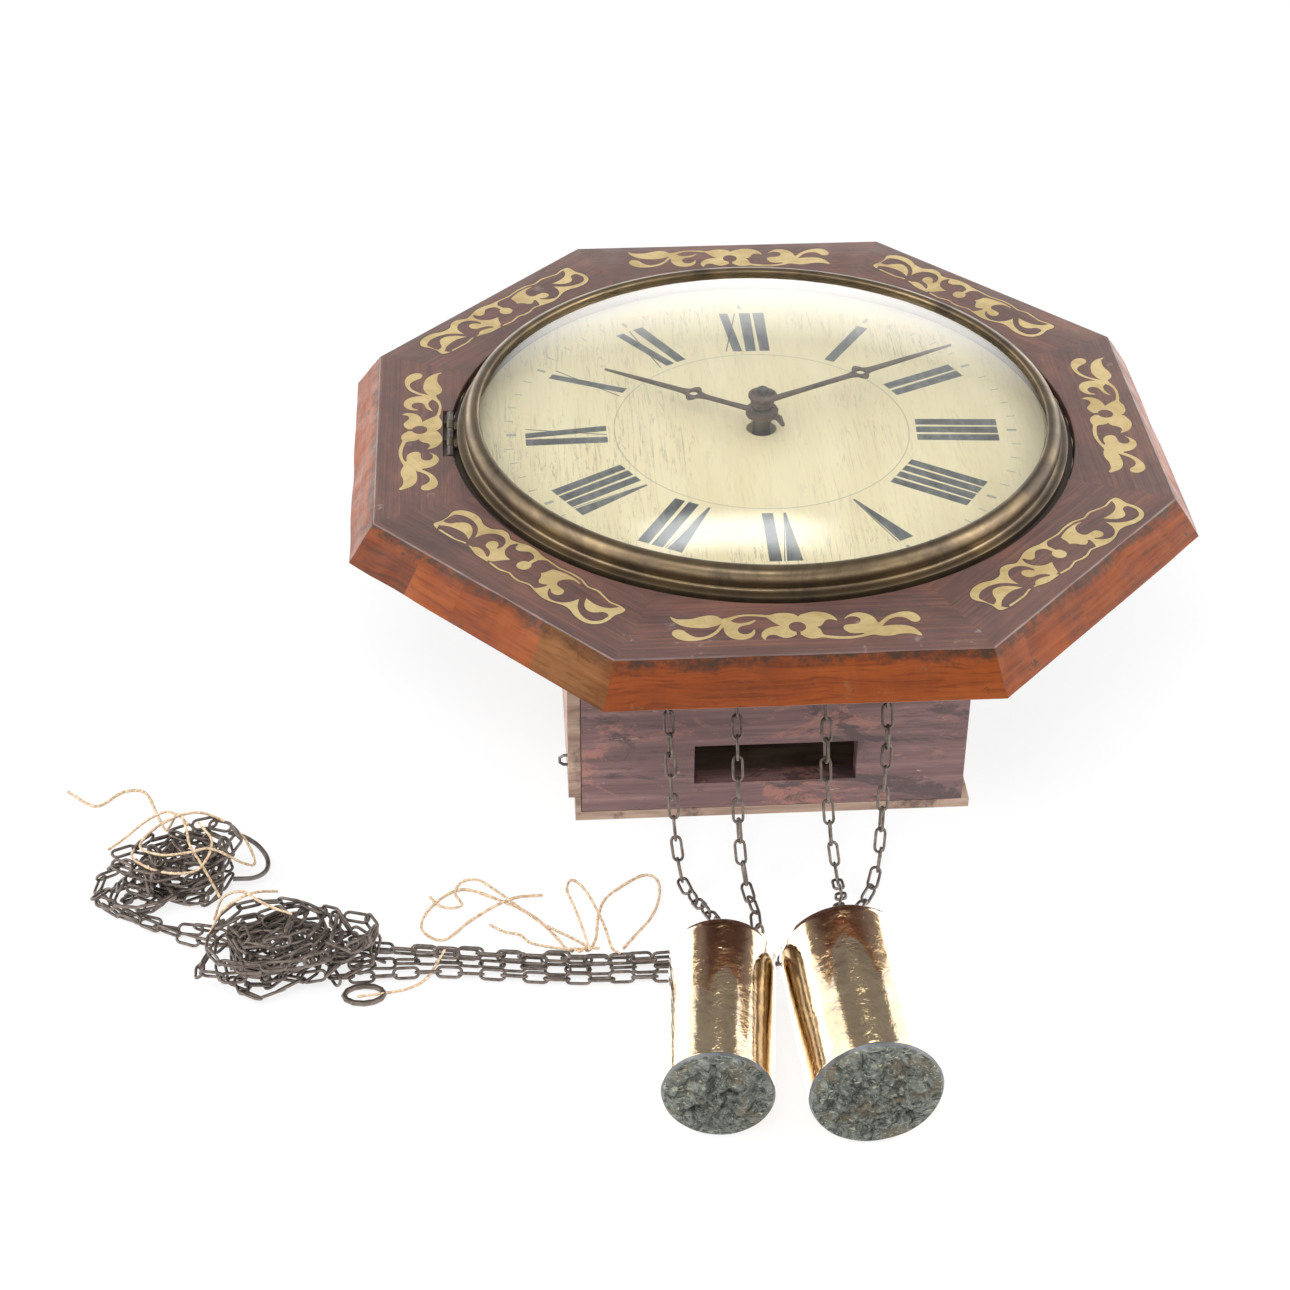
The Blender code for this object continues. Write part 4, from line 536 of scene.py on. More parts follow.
def octagonal_frame():
    """The frame's eight veneered sides, mitred at the corners, with softened arrises."""
    shape = bmesh.new()
    grain = shape.loops.layers.uv.new("grain")
    rng = random.Random(4)
    count = len(SECTION)
    for side in range(8):
        start, end = Vector(octagon(0)[side]), Vector(octagon(0)[(side + 1) % 8])
        first = math.atan2(start.y, start.x)
        sweep = (math.atan2(end.y, end.x) - first) % math.tau
        along = (end - start).normalized()
        outwards = Vector((-along.y, along.x))
        rows = []
        for i in range(FRAME_STEPS + 1):
            t = i / FRAME_STEPS
            ring = polar(RECESS_R, first + sweep * t)
            row = []
            for kind, size, z in SECTION:
                at = frame_spot(side, kind, size, z, ring, t)
                across = at.dot(outwards) + (FACE_Z - z)
                row.append((shape.verts.new(Vector((*at, z)) * MM),
                            (at.dot(along) * MM + side * 0.4, across * MM)))
            rows.append(row)
        seams = sorted(rng.uniform(0.1, 0.9) for _ in range(2)) if side in PIECED else []
        for i in range(FRAME_STEPS):
            piece = sum((i + 0.5) / FRAME_STEPS > seam for seam in seams)
            for j in range(count):
                k = (j + 1) % count
                corners = [rows[i][j], rows[i][k], rows[i + 1][k], rows[i + 1][j]]
                face = shape.faces.new([c[0] for c in corners])
                if j in EDGE_FACES:
                    face.material_index = 2 if side == PALE and i >= FRAME_STEPS - PALE_STEPS else 1
                for loop, (_, (u, v)) in zip(face.loops, corners):
                    loop[grain].uv = (u + (0.13 * piece if face.material_index else 0), v)
    bmesh.ops.remove_doubles(shape, verts=shape.verts, dist=0.000004)
    looks = (VENEER_FACE, VENEER_EDGE, VENEER_PALE)
    thing = finish("veneered_frame", shape, looks, "case", "mahogany_veneer", "octagon_frame", angle=32)
    carve(thing, *POCKET)


def carve(thing, middle, size):
    """Cut a box out of a thing."""
    shape = bmesh.new()
    box_into(shape, middle, size)
    tool = linked("pocket", from_shape("pocket", shape))
    step = thing.modifiers.new("pocket", "BOOLEAN")
    step.operation = "DIFFERENCE"
    step.solver = "EXACT"
    step.object = tool
    graph = bpy.context.evaluated_depsgraph_get()
    carved = bpy.data.meshes.new_from_object(thing.evaluated_get(graph))
    thing.modifiers.clear()
    thing.data = carved
    bpy.data.objects.remove(tool, do_unlink=True)


# Scrolls let into the frame

SCROLL = (
    ((-43.8, 8.7), (-42, 7.3), (-39, 6.9), (-36, 7.1), (-33, 8.2), (-30, 8.8), (-27.6, 8.2), (-26, 6.6),
     (-24.4, 6), (-24, 4.8), (-26.2, 3.6), (-28.5, 2.3), (-31.5, 1.4), (-35, 1.5), (-39, 2.5), (-42, 4.8),
     (-43.4, 7)),
    ((-42, 0.9), (-39.8, 0.2), (-38.3, -1.8), (-36.5, -3.5), (-34.5, -4.1), (-31.5, -3.2), (-28.5, -0.6),
     (-26.3, 3.3), (-25, 4.9), (-24.5, 3.6), (-26.2, 0.8), (-29, -3), (-32, -5), (-36, -6), (-39.5, -5.8),
     (-42.5, -4.2), (-43.9, -1.6), (-43.3, 0.2)),
    ((-24.4, 5.6), (-24.9, 4), (-25.6, 1.5), (-25.5, -1.5), (-24.3, -4.2), (-21.8, -6), (-18.5, -6.1),
     (-16, -4.5), (-14.9, -2.2), (-15.1, -0.4), (-16.2, -2.2), (-18.2, -3.2), (-20, -2.6), (-20.8, -0.8),
     (-20.2, 1), (-18.8, 1.9), (-16.6, 2.5), (-15, 3.6), (-14, 5.2), (-15.8, 4.4), (-18, 3.6),
     (-20.5, 3.5), (-22.4, 4.6), (-23.2, 5.6)),
    ((-25.5, 6.4), (-24, 6.8), (-21, 8), (-17.5, 8.6), (-13.5, 8.4), (-10.5, 7.8), (-10.5, 6.8),
     (-13.5, 7.3), (-17.5, 7.6), (-20.5, 6.9), (-22.8, 5.3), (-24.5, 5)),
    ((-11.5, 7.6), (-8.5, 7.9), (-6.3, 8.7), (-3, 8.8), (-0.5, 8), (1, 6.4), (2.2, 3), (0, 0), (-3, 0),
     (-5.5, 1.2), (-6.5, 1.9), (-8.2, 3.8), (-9.8, 6)),
    ((-4.5, 1.6), (-6.8, 1), (-9, 0.6), (-11, -0.5), (-12.6, -2.6), (-12.9, -5), (-11.8, -6.8),
     (-11.3, -5.3), (-10.2, -4.2), (-8.2, -4.1), (-6.5, -5.2), (-4.8, -6.1), (-2.6, -5.7), (-1, -4.4),
     (-0.7, -2), (0, 0), (-2.5, 1.8)),
    ((0.9, 5.5), (1.6, 7.2), (3.6, 8.1), (6.5, 9), (9.5, 8.6), (12.2, 7.2), (13.8, 5.2), (14.4, 3.2),
     (13, 4), (11.3, 4.2), (10, 3.2), (9.2, 1.6), (8, 0.3), (5, -0.3), (2, 0), (0, 0), (0.6, 3.5)),
    ((0.6, 0), (3, 0.4), (5, 0.2), (7, -0.3), (8, -1.8), (8.4, -4), (8.9, -5.2), (8, -6.3), (5.8, -6.9),
     (3.6, -6.6), (1.6, -5.2), (0.9, -3.6), (1.6, -2.6), (0.9, -1)),
    ((8, -4.8), (9.5, -5.2), (12.5, -5.9), (16, -6.3), (19.5, -6.2), (22.5, -5.4), (23.8, -4.4),
     (25.8, -5), (24.8, -6), (21.5, -7), (17.5, -7.7), (13, -7.5), (9.5, -6.7), (7.6, -6.2)),
    ((17, 4), (18.2, 5.8), (20.2, 7.2), (22.5, 7.7), (25.5, 6.6), (27.4, 4.6), (28.3, 2), (28.5, 0.6),
     (29.6, -0.6), (27.5, -3.5), (26.5, -5.6), (24.5, -5.8), (22.5, -4.6), (20, -4.7), (18, -4.2),
     (16.4, -2.4), (16.2, -0.6), (17.2, 0.5), (19.5, 0.8), (21.5, 1.2), (22.6, 2.8), (22.3, 4.4),
     (21, 5.3), (19.2, 5.4), (18, 4.9)),
    ((28.2, -1), (28.7, 0.6), (30.5, 3), (32.5, 5), (35, 6.4), (38, 7.3), (41, 7), (43, 5.2), (43.7, 3.2),
     (43.2, 1.6), (42, 1), (40.4, 1.5), (39.4, 2.8), (37.6, 4.1), (35.2, 4.2), (32.8, 3), (31, 1),
     (29.6, -0.9)),
    ((28.2, -1.4), (30.5, -0.9), (34, -0.5), (37.5, -0.8), (40.3, -2.2), (42, -4.6), (42.9, -6.9),
     (42.2, -7.2), (40.5, -6.2), (37.8, -5.7), (35, -5.9), (32.5, -6.6), (29.5, -6.7), (27, -6),
     (25.8, -5.4), (26.5, -3)))
# Height from one plate to the next that overlaps it
OVERLAP_STEP = 0.002
SCROLL_JOINTS = ((28.4, 0, 1.3), (-24.7, 5, 1.1), (-11, 7.3, 0.6))
BORDER = (
    (-44.6, 5.5), (-42.4, 8.2), (-38, 9.4), (-34, 8.8), (-30.5, 7), (-28.4, 6.7), (-26, 6.9), (-22.4, 9.2),
    (-19, 8.9), (-15.8, 7), (-12.4, 7.6), (-8.4, 8.8), (-4, 8.7), (0, 7.7), (5, 7.3), (10, 6.8), (16, 7.5),
    (21, 7.2), (25.6, 5.7), (30, 6.4), (34, 5.4), (38, 4.4), (42, 5), (45.2, 4.4), (45.6, 2.6),
    (44.9, -0.5), (45.4, -4.5), (44.6, -7.8), (42.2, -10.2), (38.6, -11), (34.5, -10.4), (31, -9.1),
    (27.6, -8.9), (22, -10.5), (18, -10.7), (13.6, -9.6), (9.6, -8.7), (5.6, -9.7), (2.6, -9.6),
    (-0.4, -8.7), (-5, -9.6), (-12, -8.9), (-18, -8.6), (-23, -6.9), (-26.5, -6.6), (-30, -7.4),
    (-36, -7.4), (-41, -7), (-43.8, -5.6), (-43.2, -2), (-43.6, 1.5), (-44.4, 3.5))
POSITIVES = (("bottom", -1, -136.2, 0), ("top", -0.2, 138.3, 0), ("left", -133.6, 3, -90),
             ("right", 136, 0.5, -90))
NEGATIVES = (("bottom_left", -94, -92.1, -47.5), ("bottom_right", 98.4, -95, 44.8),
             ("top_left", -98.8, 97.8, 46.8), ("top_right", 95.4, 101.2, -46.9))


def grown(outline, by):
    """An outline moved outwards by a little."""
    made = []
    count = len(outline)
    area = sum(outline[i][0] * outline[(i + 1) % count][1] - outline[(i + 1) % count][0] * outline[i][1]
               for i in range(count))
    sign = 1 if area > 0 else -1
    for i in range(count):
        along = (Vector(outline[(i + 1) % count]) - Vector(outline[i - 1])).normalized()
        made.append(Vector(outline[i]) + Vector((along.y, -along.x)) * by * sign)
    return made


def edge_at(x, side):
    """Height of the slanting plates' border above or below the middle, at a place along it."""
    a, b = sorted((p for p in BORDER if p[1] * side > 0), key=lambda p: abs(p[0] - x))[:2]
    span = b[0] - a[0]
    return a[1] if abs(span) < 0.1 else a[1] + (b[1] - a[1]) * max(-0.2, min(1, (x - a[0]) / span))


def flip(y):
    return -y * 1.08 - 0.8


def disc(x, y, radius, count=32):
    return [Vector((x, y)) + polar(radius, math.tau * i / count) for i in range(count)]


def scroll_into(shape, place, low, high, look, flipped=False):
    """All leaves of a scroll, each a little higher than the last so that no two faces coincide."""
    for i, loop in enumerate(SCROLL):
        outline = smooth_loop(loop)
        if flipped:
            outline = grown([Vector((max(-42.6, min(43.4, p.x)), flip(p.y))) for p in outline], 0.3)
            for p in outline:
                p.y = max(edge_at(p.x, -1) + 0.8, min(edge_at(p.x, 1) - 0.8, p.y))
        plate_into(shape, outline, low, high + OVERLAP_STEP * i, place, look)
    for i, (x, y, radius) in enumerate(SCROLL_JOINTS):
        joint = disc(x, flip(y) if flipped else y, radius)
        plate_into(shape, joint, low, high + 0.03 + OVERLAP_STEP * i, place, look)


# The round drop in a scroll's middle and its stem: outline, height over the face, and whether it is brass
DROP = ((disc(0.1, 0.2, 4.9), 0.06, True), (disc(0.1, 0.2, 3), 0.07, False),
        (((-0.5, -6.5), (0.7, -6.5), (0.9, -2), (-0.7, -2)), 0.08, False))
NEGATIVE_DROP = ((disc(-0.3, -1.3, 4.6), 0.07, False), (disc(-0.3, -1.3, 2.7), 0.08, True),
                 (((-0.6, 0.5), (0.8, 0.5), (1, 6.6), (-0.8, 6.6)), 0.09, True))


def inlays():
    """Brass scrolls in the straight sides, and their counterpart in the slanting ones."""
    low = FACE_Z - 0.3
    for name, x, y, turn in POSITIVES + NEGATIVES:
        place = Matrix.Translation((x * MM, y * MM, 0)) @ Matrix.Rotation(math.radians(turn), 4, "Z")
        shape = bmesh.new()
        positive = (name, x, y, turn) in POSITIVES
        if positive:
            scroll_into(shape, place, low, FACE_Z + 0.02, 0)
        else:
            border = smooth_loop(BORDER)
            plate_into(shape, grown(border, 0.35), low, FACE_Z + 0.008, place, 1)
            plate_into(shape, border, low, FACE_Z + 0.02, place, 0)
            scroll_into(shape, place, low, FACE_Z + 0.03, 2, True)
        for outline, height, brass in DROP if positive else NEGATIVE_DROP:
            plate_into(shape, outline, low, FACE_Z + height, place, 0 if brass else 2)
        grain = shape.loops.layers.uv.new("grain")
        back = place.inverted()
        for face in shape.faces:
            for loop in face.loops:
                at = back @ loop.vert.co
                loop[grain].uv = (at.x + 0.21, at.y + 0.07)
        mesh = from_shape("scroll_" + name, shape, False)
        looks = (INLAY, MASTIC_AND_SHADE, VENEER_FACE)
        finish("scroll_" + name, mesh, looks, "case", "brass", "inlay_" + name, smooth=False)


# Dial

# Each numeral's angle from three o'clock
NUMERALS = dict(XII=89.6, I=57.3, II=26, III=-4, IIII=-33.9, V=-60.6, VI=-90, VII=-119.4,
                VIII=-147.7, IX=-178.9, X=150.1, XI=120.7)
NUMERAL_IN, NUMERAL_OUT = 60.5, 92.3
MARK_LOW, MARK_HIGH = DIAL_Z - 0.05, DIAL_Z + 0.02
CIRCLE_R, CIRCLE_WIDE = 57.6, 0.28
# Minute marks: half width, inner and outer radius
HOUR_MARK, MINUTE_MARK = (0.75, 95.8, 99.6), (0.22, 97.4, 100.8)
STROKES = {"I": 5.7, "V": 7.6, "X": 8.2}


def numeral_into(shape, text, degrees):
    """One painted numeral, its foot towards the centre."""
    a = math.radians(degrees)
    out = polar(1, a)
    side = Vector((out.y, -out.x))
    thin = 0.88 if len(text) == 4 else 1
    width = sum(STROKES[c] for c in text) * thin
    at = -width / 2

    def stroke(foot_left, foot_right, head_left, head_right):
        corners = [(foot_left, NUMERAL_IN), (foot_right, NUMERAL_IN), (head_right, NUMERAL_OUT),
                   (head_left, NUMERAL_OUT)]
        plate_into(shape, [side * x + out * r for x, r in corners], MARK_LOW, MARK_HIGH + 0.01)

    for c in text:
        wide = STROKES[c] * thin
        centre = at + wide / 2
        if c == "I":
            half = 2.15 * thin
            stroke(centre - half * 0.97, centre + half * 0.97, centre - half * 1.08, centre + half * 1.08)
        elif c == "V":
            stroke(centre - 0.3, centre + 0.3, centre - 3.4 * thin, centre + 2.6 * thin)
            stroke(centre + 0.2, centre + 0.6, centre + 3.3 * thin, centre + 3.7 * thin)
        else:
            stroke(centre - 0.4 * thin, centre + 3.4 * thin, centre - 3.8 * thin, centre - 0.2 * thin)
            stroke(centre - 3.5 * thin, centre - 3 * thin, centre + 2.6 * thin, centre + 3.1 * thin)
        at += wide


def ring_into(shape, radius, wide, count=144):
    for i in range(count):
        a, b = math.tau * i / count, math.tau * (i + 1) / count
        inner, outer = radius - wide / 2, radius + wide / 2
        corners = [polar(inner, a), polar(outer, a), polar(outer, b), polar(inner, b)]
        plate_into(shape, corners, MARK_LOW, MARK_HIGH)


def dial_marks():
    shape = bmesh.new()
    for text, degrees in NUMERALS.items():
        numeral_into(shape, text, degrees)
    finish("numerals", shape, (INK,), "case", "dial_paint", smooth=False)
    shape = bmesh.new()
    ring_into(shape, CIRCLE_R, CIRCLE_WIDE)
    for i in range(60):
        degrees = 90 - 6 * i
        lean = -4 * max(0, math.cos(math.radians(degrees)))
        a = math.radians(degrees + lean)
        half, inner, outer = MINUTE_MARK if i % 5 else HOUR_MARK
        out = polar(1, a)
        side = Vector((out.y, -out.x))
        corners = [side * -half + out * inner, side * half + out * inner, side * half + out * outer,
                   side * -half + out * outer]
        plate_into(shape, corners, MARK_LOW, MARK_HIGH)
    faint = Look("faint_ink", (0.36, 0.34, 0.27), 0.4).material
    finish("minute_track", shape, (faint,), "case", "dial_paint", smooth=False)
    shape = bmesh.new()
    # A dark ring round the dial's edge, under the bezel's flange and out to the frame: painted shade for
    # the shadow in the gap between bezel and frame.
    ring_into(shape, (LEDGE_R + RECESS_R) / 2, RECESS_R - LEDGE_R - 1)
    finish("dial_rim_painted_shade", shape, (MASTIC_AND_SHADE,), "case", "dial_paint", smooth=False)


# Bezel and glass

HINGE_X, HINGE_Z = -121.6, 109
KNUCKLE_Y, KNUCKLE_R, KNUCKLE_LONG = 6.4, 1.5, 5.6
GLASS_R, GLASS_Z, GLASS_RISE, GLASS_THICK = 111, 117.2, 13.4, 1.6
BEZEL_SECTION = (
    (110.3, 115.2), (110.2, 117.6), (110, 118.3), (110.3, 118.9), (111, 119.3), (112, 119.4),
    (113.2, 119.2), (114.3, 118.6), (115.2, 117.6), (115.8, 116.2), (116, 114.6), (115.7, 113.2),
    (115.2, 112.2), (115.2, 111.4), (115.7, 110.9), (117, 110.7), (118.3, 110.75), (118.9, 110.4),
    (119, 109.7), (119, 107.85), (112.8, 107.85), (112.8, 115))


def bezel():
    """The turned brass ring with its two hinge knuckles."""
    shape = bmesh.new()
    shape.from_mesh(lathe("bezel", BEZEL_SECTION, 192))
    for y in (-KNUCKLE_Y, KNUCKLE_Y):
        place = Matrix.Translation(Vector((HINGE_X, y, HINGE_Z)) * MM) @ ALONG_Y
        bmesh.ops.create_cone(shape, cap_ends=True, segments=16, radius1=KNUCKLE_R * MM,
                              radius2=KNUCKLE_R * MM, depth=KNUCKLE_LONG * MM, matrix=place)
        box_into(shape, (HINGE_X + 2.4, y, HINGE_Z), (4.8, KNUCKLE_LONG, 1))
    finish("brass_bezel", shape, (BEZEL,), "bezel", "bezel_brass", "bezel_ring", angle=50)


def domed_glass():
    """A dome between two balls about the same centre."""
    ball = (GLASS_R ** 2 + GLASS_RISE ** 2) / (2 * GLASS_RISE)
    centre = GLASS_Z + GLASS_RISE - ball
    count = 28
    faces = []
    for radius, edge in ((ball, GLASS_R), (ball - GLASS_THICK, GLASS_R - 0.1)):
        reach = math.asin(edge / radius)
        faces.append([(radius * math.sin(reach * i / count), centre + radius * math.cos(reach * i / count))
                      for i in range(count + 1)])
    mesh = lathe("domed_glass", faces[0][::-1] + faces[1], 160)
    finish("domed_glass", mesh, (GLASS,), "bezel", "glass", "bezel_glass", angle=50)


# Weights

WEIGHTS = (dict(name="left", x=-38, y=-268.3, d=37, long=64.6, turn=6.2, seed=3),
           dict(name="right", x=13.2, y=-274, d=44.2, long=66.8, turn=-2.5, seed=8))
SPOKES, SLEEVE_ROWS, LEAD_RINGS = 96, 26, 34


def weight(name, x, y, d, long, turn, seed):
    """A dented brass sleeve folded over cast lead, lying on the table."""
    radius = d / 2
    place = (Matrix.Translation((x * MM, y * MM, (radius + 0.2) * MM))
             @ Matrix.Rotation(math.radians(-turn), 4, "Z") @ ALONG_Y)
    sleeve_mesh, lead_mesh = dented_sleeve(name, radius, long, seed), cast_lead(name, radius, seed)
    for mesh in (sleeve_mesh, lead_mesh):
        mesh.transform(place)
    body = name + "_weight"
    finish(name + "_brass_sleeve", sleeve_mesh, (SLEEVE,), body, "brass", body + "_sleeve")
    finish(name + "_cast_lead", lead_mesh, (LEAD, LEAD_RIM), body, "lead", body + "_core", angle=70)


def dented_sleeve(name, radius, long, seed):
    """Sheet brass round the lead, with a hole at its closed far end."""
    section = [(radius - 1, 0), (radius - 0.15, 0), (radius, 0.35)]
    section += [(radius, 0.6 + (long - 1.4) * i / SLEEVE_ROWS) for i in range(SLEEVE_ROWS + 1)]
    section += [(radius - 0.5, long - 0.1), (radius - 1.2, long), (1.6, long), (1.6, long - 1),
                (radius - 1, long - 1)]
    mesh = lathe(name + "_sleeve", section, SPOKES)
    for vert in mesh.vertices:
        flat = Vector((vert.co.x, vert.co.y, 0))
        if flat.length > (radius - 0.6) * MM:
            dent = noise.fractal(vert.co * 42 + Vector((seed, 0, 0)), 0.8, 2.2, 3) * 0.35 - 0.12
            flat = flat * (1 + min(0, dent) * 0.5 * MM / flat.length)
            vert.co = Vector((flat.x, flat.y, vert.co.z))
    return mesh


def cast_lead(name, radius, seed):
    """The lead's rough hollow face with its smooth rim, closed behind."""
    shape = bmesh.new()
    rows = []
    for i in range(LEAD_RINGS + 1):
        share = i / LEAD_RINGS
        bulge = -radius * 0.15 * math.sqrt(max(0, 1 - share ** 3))
        inside = min(1, 3.2 * max(0, 0.93 - share))
        rim = -0.5 * math.exp(-((share - 0.95) / 0.03) ** 2)
        row = []
        for j in range(SPOKES):
            a = math.tau * j / SPOKES
            wobble = 1 + 0.012 * noise.noise(Vector((*polar(2, a), seed)))
            r = (radius + 0.3) * wobble * share
            at = Vector((*polar(r * 0.16, a), seed))
            rough = noise.fractal(at * 1.5, 0.7, 2.1, 5) * 2.4 * inside
            crease = abs(noise.noise(at * 1.4 + Vector((5, 2, 0)))) * 4.2 * inside
            row.append(shape.verts.new(Vector((*polar(r, a), bulge - 0.25 + rough + crease + rim)) * MM))
        rows.append(row)
    behind = [[shape.verts.new((v.co.x * 0.93, v.co.y * 0.93, z * MM)) for v in rows[-1]] for z in (0, 3)]
    for face in skin(shape, rows + behind, False)[-3 * SPOKES:-SPOKES]:
        face.material_index = 1
    shape.faces.new(behind[-1])
    bmesh.ops.remove_doubles(shape, verts=shape.verts, dist=0.000002)
    return from_shape(name + "_lead", shape)


# Chains and twine, along the model's routes

STRIKE_WEIGHT_SIDE = (
    (-29.8, -190.7, 18.6), (-31.2, -184.5, 17.6), (-34, -174.5, 13.6), (-37, -163.1, 8.6),
    (-38.8, -155.5, 5.4), (-40.6, -148, 5.6), (-42.2, -141.2, 12.3), (-43.2, -132.7, 24),
    (-43.4, -123.8, 36.2), (-43.7, -115.3, 48.2), (-43.6, -110.2, 55), (-43.5, -105, 60.6),
    (-43.5, -100, 61.7), (-43.5, -92, 62))
GOING_WEIGHT_SIDE = (
    (9.8, -194.4, 22.3), (11, -187.5, 21.6), (13, -179.5, 18.8), (14.8, -170.5, 14.4), (16, -160.3, 9),
    (16.2, -152.5, 5.6), (15.8, -146.5, 7), (15.2, -140.5, 13.3), (14.6, -132.4, 24.4),
    (14.1, -122.6, 37.9), (14.6, -115, 48.6), (14.8, -110.2, 55), (14.8, -105, 60.6), (14.8, -100, 61.7),
    (14.8, -92, 62))
STRIKE_TAIL = (
    (-18.5, -92, 62), (-18.5, -100, 61.7), (-18.5, -105, 60.6), (-18.4, -110.2, 55), (-18.6, -115, 48.4),
    (-18.8, -122.8, 37.6), (-19.1, -130.8, 26.6), (-18.8, -139.3, 13.6), (-17.8, -147, 4.2),
    (-16.5, -155, 2.6), (-15, -164, 2.6), (-14.6, -172.9, 2.6), (-18, -180.8, 2.6), (-27, -184.2, 2.6),
    (-45, -185.2, 2.6), (-78, -185, 2.6), (-104, -182.2, 2.6), (-130, -178.4, 2.6), (-162, -173.9, 2.6))
GOING_TAIL = (
    (37.8, -92, 62), (37.8, -100, 61.7), (37.8, -105, 60.6), (37.7, -110.2, 55), (37.4, -115, 48.6),
    (36.4, -123.1, 37.2), (34.8, -132, 25), (33.2, -140.4, 12.8), (31.4, -147.6, 4.2), (28.2, -155.5, 2.6),
    (23.8, -162.6, 2.6), (16, -171.5, 2.6), (6.5, -180.5, 2.6), (-4, -188.6, 2.6), (-17, -194.2, 2.6),
    (-30, -195.8, 2.6), (-45, -195.6, 2.6), (-78, -195.2, 2.6), (-104, -192.4, 2.6), (-130, -189, 2.6),
    (-168.4, -189.8, 2.6))
CHAIN_FOLD = (
    (-161.2, -178.4, 7), (-130, -183.4, 7), (-104, -187, 7), (-78, -190, 7), (-50, -190.2, 7),
    (-34, -188.2, 7), (-27.5, -190, 4.8), (-34, -190.2, 2.6), (-50, -190.3, 2.6), (-78, -190.1, 2.6),
    (-104, -187.3, 2.6), (-130, -183.7, 2.6), (-161.2, -182, 2.6))
CHAIN_LOOP = (
    (-202.9, -167.4, 2.6), (-206.5, -164.4, 2.6), (-213, -162, 2.6), (-223, -160.2, 2.6),
    (-235, -156.8, 2.6), (-246.5, -151.3, 2.6), (-254, -143.5, 2.6), (-255.4, -135.5, 2.6),
    (-251.5, -129.6, 2.6), (-245, -129.4, 2.6))
TWINE_MIDDLE = (
    (-92, -149, 1.6), (-104, -150.5, 1.6), (-118, -160, 0.9), (-128.5, -170.5, 0.9), (-136.5, -164, 0.9),
    (-133, -152.5, 0.9), (-122, -143.5, 0.9), (-107.5, -150.5, 0.9), (-96, -160, 1.3), (-88, -172, 1.6),
    (-85.5, -179, 3.4), (-83, -184.4, 6), (-81.6, -187.2, 9.8), (-80, -190, 10.6), (-78.4, -187.2, 9.8),
    (-77, -184.5, 6), (-75, -179, 3.4), (-73.5, -172, 1.6), (-72, -160, 1.3), (-68, -150, 0.9),
    (-55, -139.5, 0.9), (-49.5, -142.5, 0.9), (-49.5, -152, 0.9), (-53, -162.5, 0.9), (-59.5, -172, 0.9),
    (-64, -178.5, 0.9))
TWINE_LEFT = (
    (-221.5, -126, 21.9), (-224, -121.6, 21.9), (-226.6, -117.2, 19.8), (-229.5, -114.6, 13),
    (-233, -107, 4), (-237, -96, 1.2), (-243.5, -80.5, 0.9), (-252, -79.5, 0.9), (-261.5, -87.5, 0.9),
    (-273.3, -78.2, 0.9))
TWINE_LOOPS = (
    ((-76.4, -186.4, 9), (-82.5, -179.7, 8), (-91.9, -171.2, 7), (-100.6, -160.5, 6), (-109.5, -150.2, 6),
     (-115.7, -143.2, 5), (-121.7, -141.7, 3), (-124.3, -145.4, 1), (-121.8, -152.1, 1),
     (-126.2, -153.5, 1), (-130.6, -151.6, 1), (-133.5, -147, 1)),
    ((-76.5, -188.5, 10), (-78.6, -182.3, 14), (-81.1, -172.8, 16), (-83.6, -164.1, 17),
     (-81.5, -157.6, 16), (-77, -161.1, 14), (-73.1, -169.8, 12), (-70.3, -178.4, 10), (-68.5, -185.7, 8),
     (-65.9, -189.9, 9)),
    ((-72.9, -187.6, 10), (-83.6, -186.5, 9), (-92.4, -183.4, 8), (-97.6, -177.9, 5), (-101, -172.7, 4),
     (-106.3, -169.7, 3), (-111.7, -164.6, 2)),
    ((-158.5, -200.5, 3.4), (-153.4, -200.1, 3.6), (-146.6, -196.3, 1), (-140.3, -194.7, 1),
     (-135.1, -190.9, 1), (-131.5, -187.5, 4), (-127.6, -184.1, 9)),
    ((-224.4, -122.5, 24), (-230.5, -118, 22), (-239.1, -113.7, 14), (-248.1, -109.5, 3),
     (-254.3, -113.7, 1)),
    ((-224.4, -122.5, 24), (-217.1, -121.5, 24), (-208.5, -122.3, 20), (-201.5, -125.2, 14),
     (-197.6, -133.2, 9), (-200.6, -141.6, 16), (-211.5, -142.3, 24), (-220.1, -145.2, 25),
     (-229.3, -144.6, 24), (-237.7, -137.6, 22), (-234.3, -128.2, 22), (-224.3, -123.4, 25)),
    ((-223.5, -124.2, 25), (-221.2, -131.7, 24), (-219.2, -140.4, 24), (-214.6, -146.4, 19),
     (-209, -152.9, 10)),
    ((-225, -123, 24), (-232, -124.2, 21), (-239.5, -131.5, 18), (-240, -141.5, 20), (-229, -149.5, 20),
     (-216.5, -149, 20), (-211.5, -139, 24), (-217, -128.5, 25)),
    ((-211.5, -171.5, 9), (-206.1, -173.6, 21), (-199.7, -172.5, 26), (-193.7, -168, 25),
     (-187, -162.2, 20)),
    ((-210.5, -162.5, 8), (-206.1, -164.6, 20), (-198.7, -168.5, 26), (-192.7, -174.5, 27),
     (-186.5, -179.2, 27), (-180.5, -180.2, 25)))
IRON_HOOK = (
    (-208, -119, 12), (-202.4, -119.6, 10), (-197.2, -122.6, 8), (-193.6, -127.8, 6), (-193.8, -133.4, 5),
    (-198, -137.2, 5), (-205.5, -138.6, 6))
# Turns in a layer of the heap's wound parts, their layers and the points in a turn
HANK_LOOPS, HANK_LAYERS, LOOP_POINTS = 1.25, 4, 22
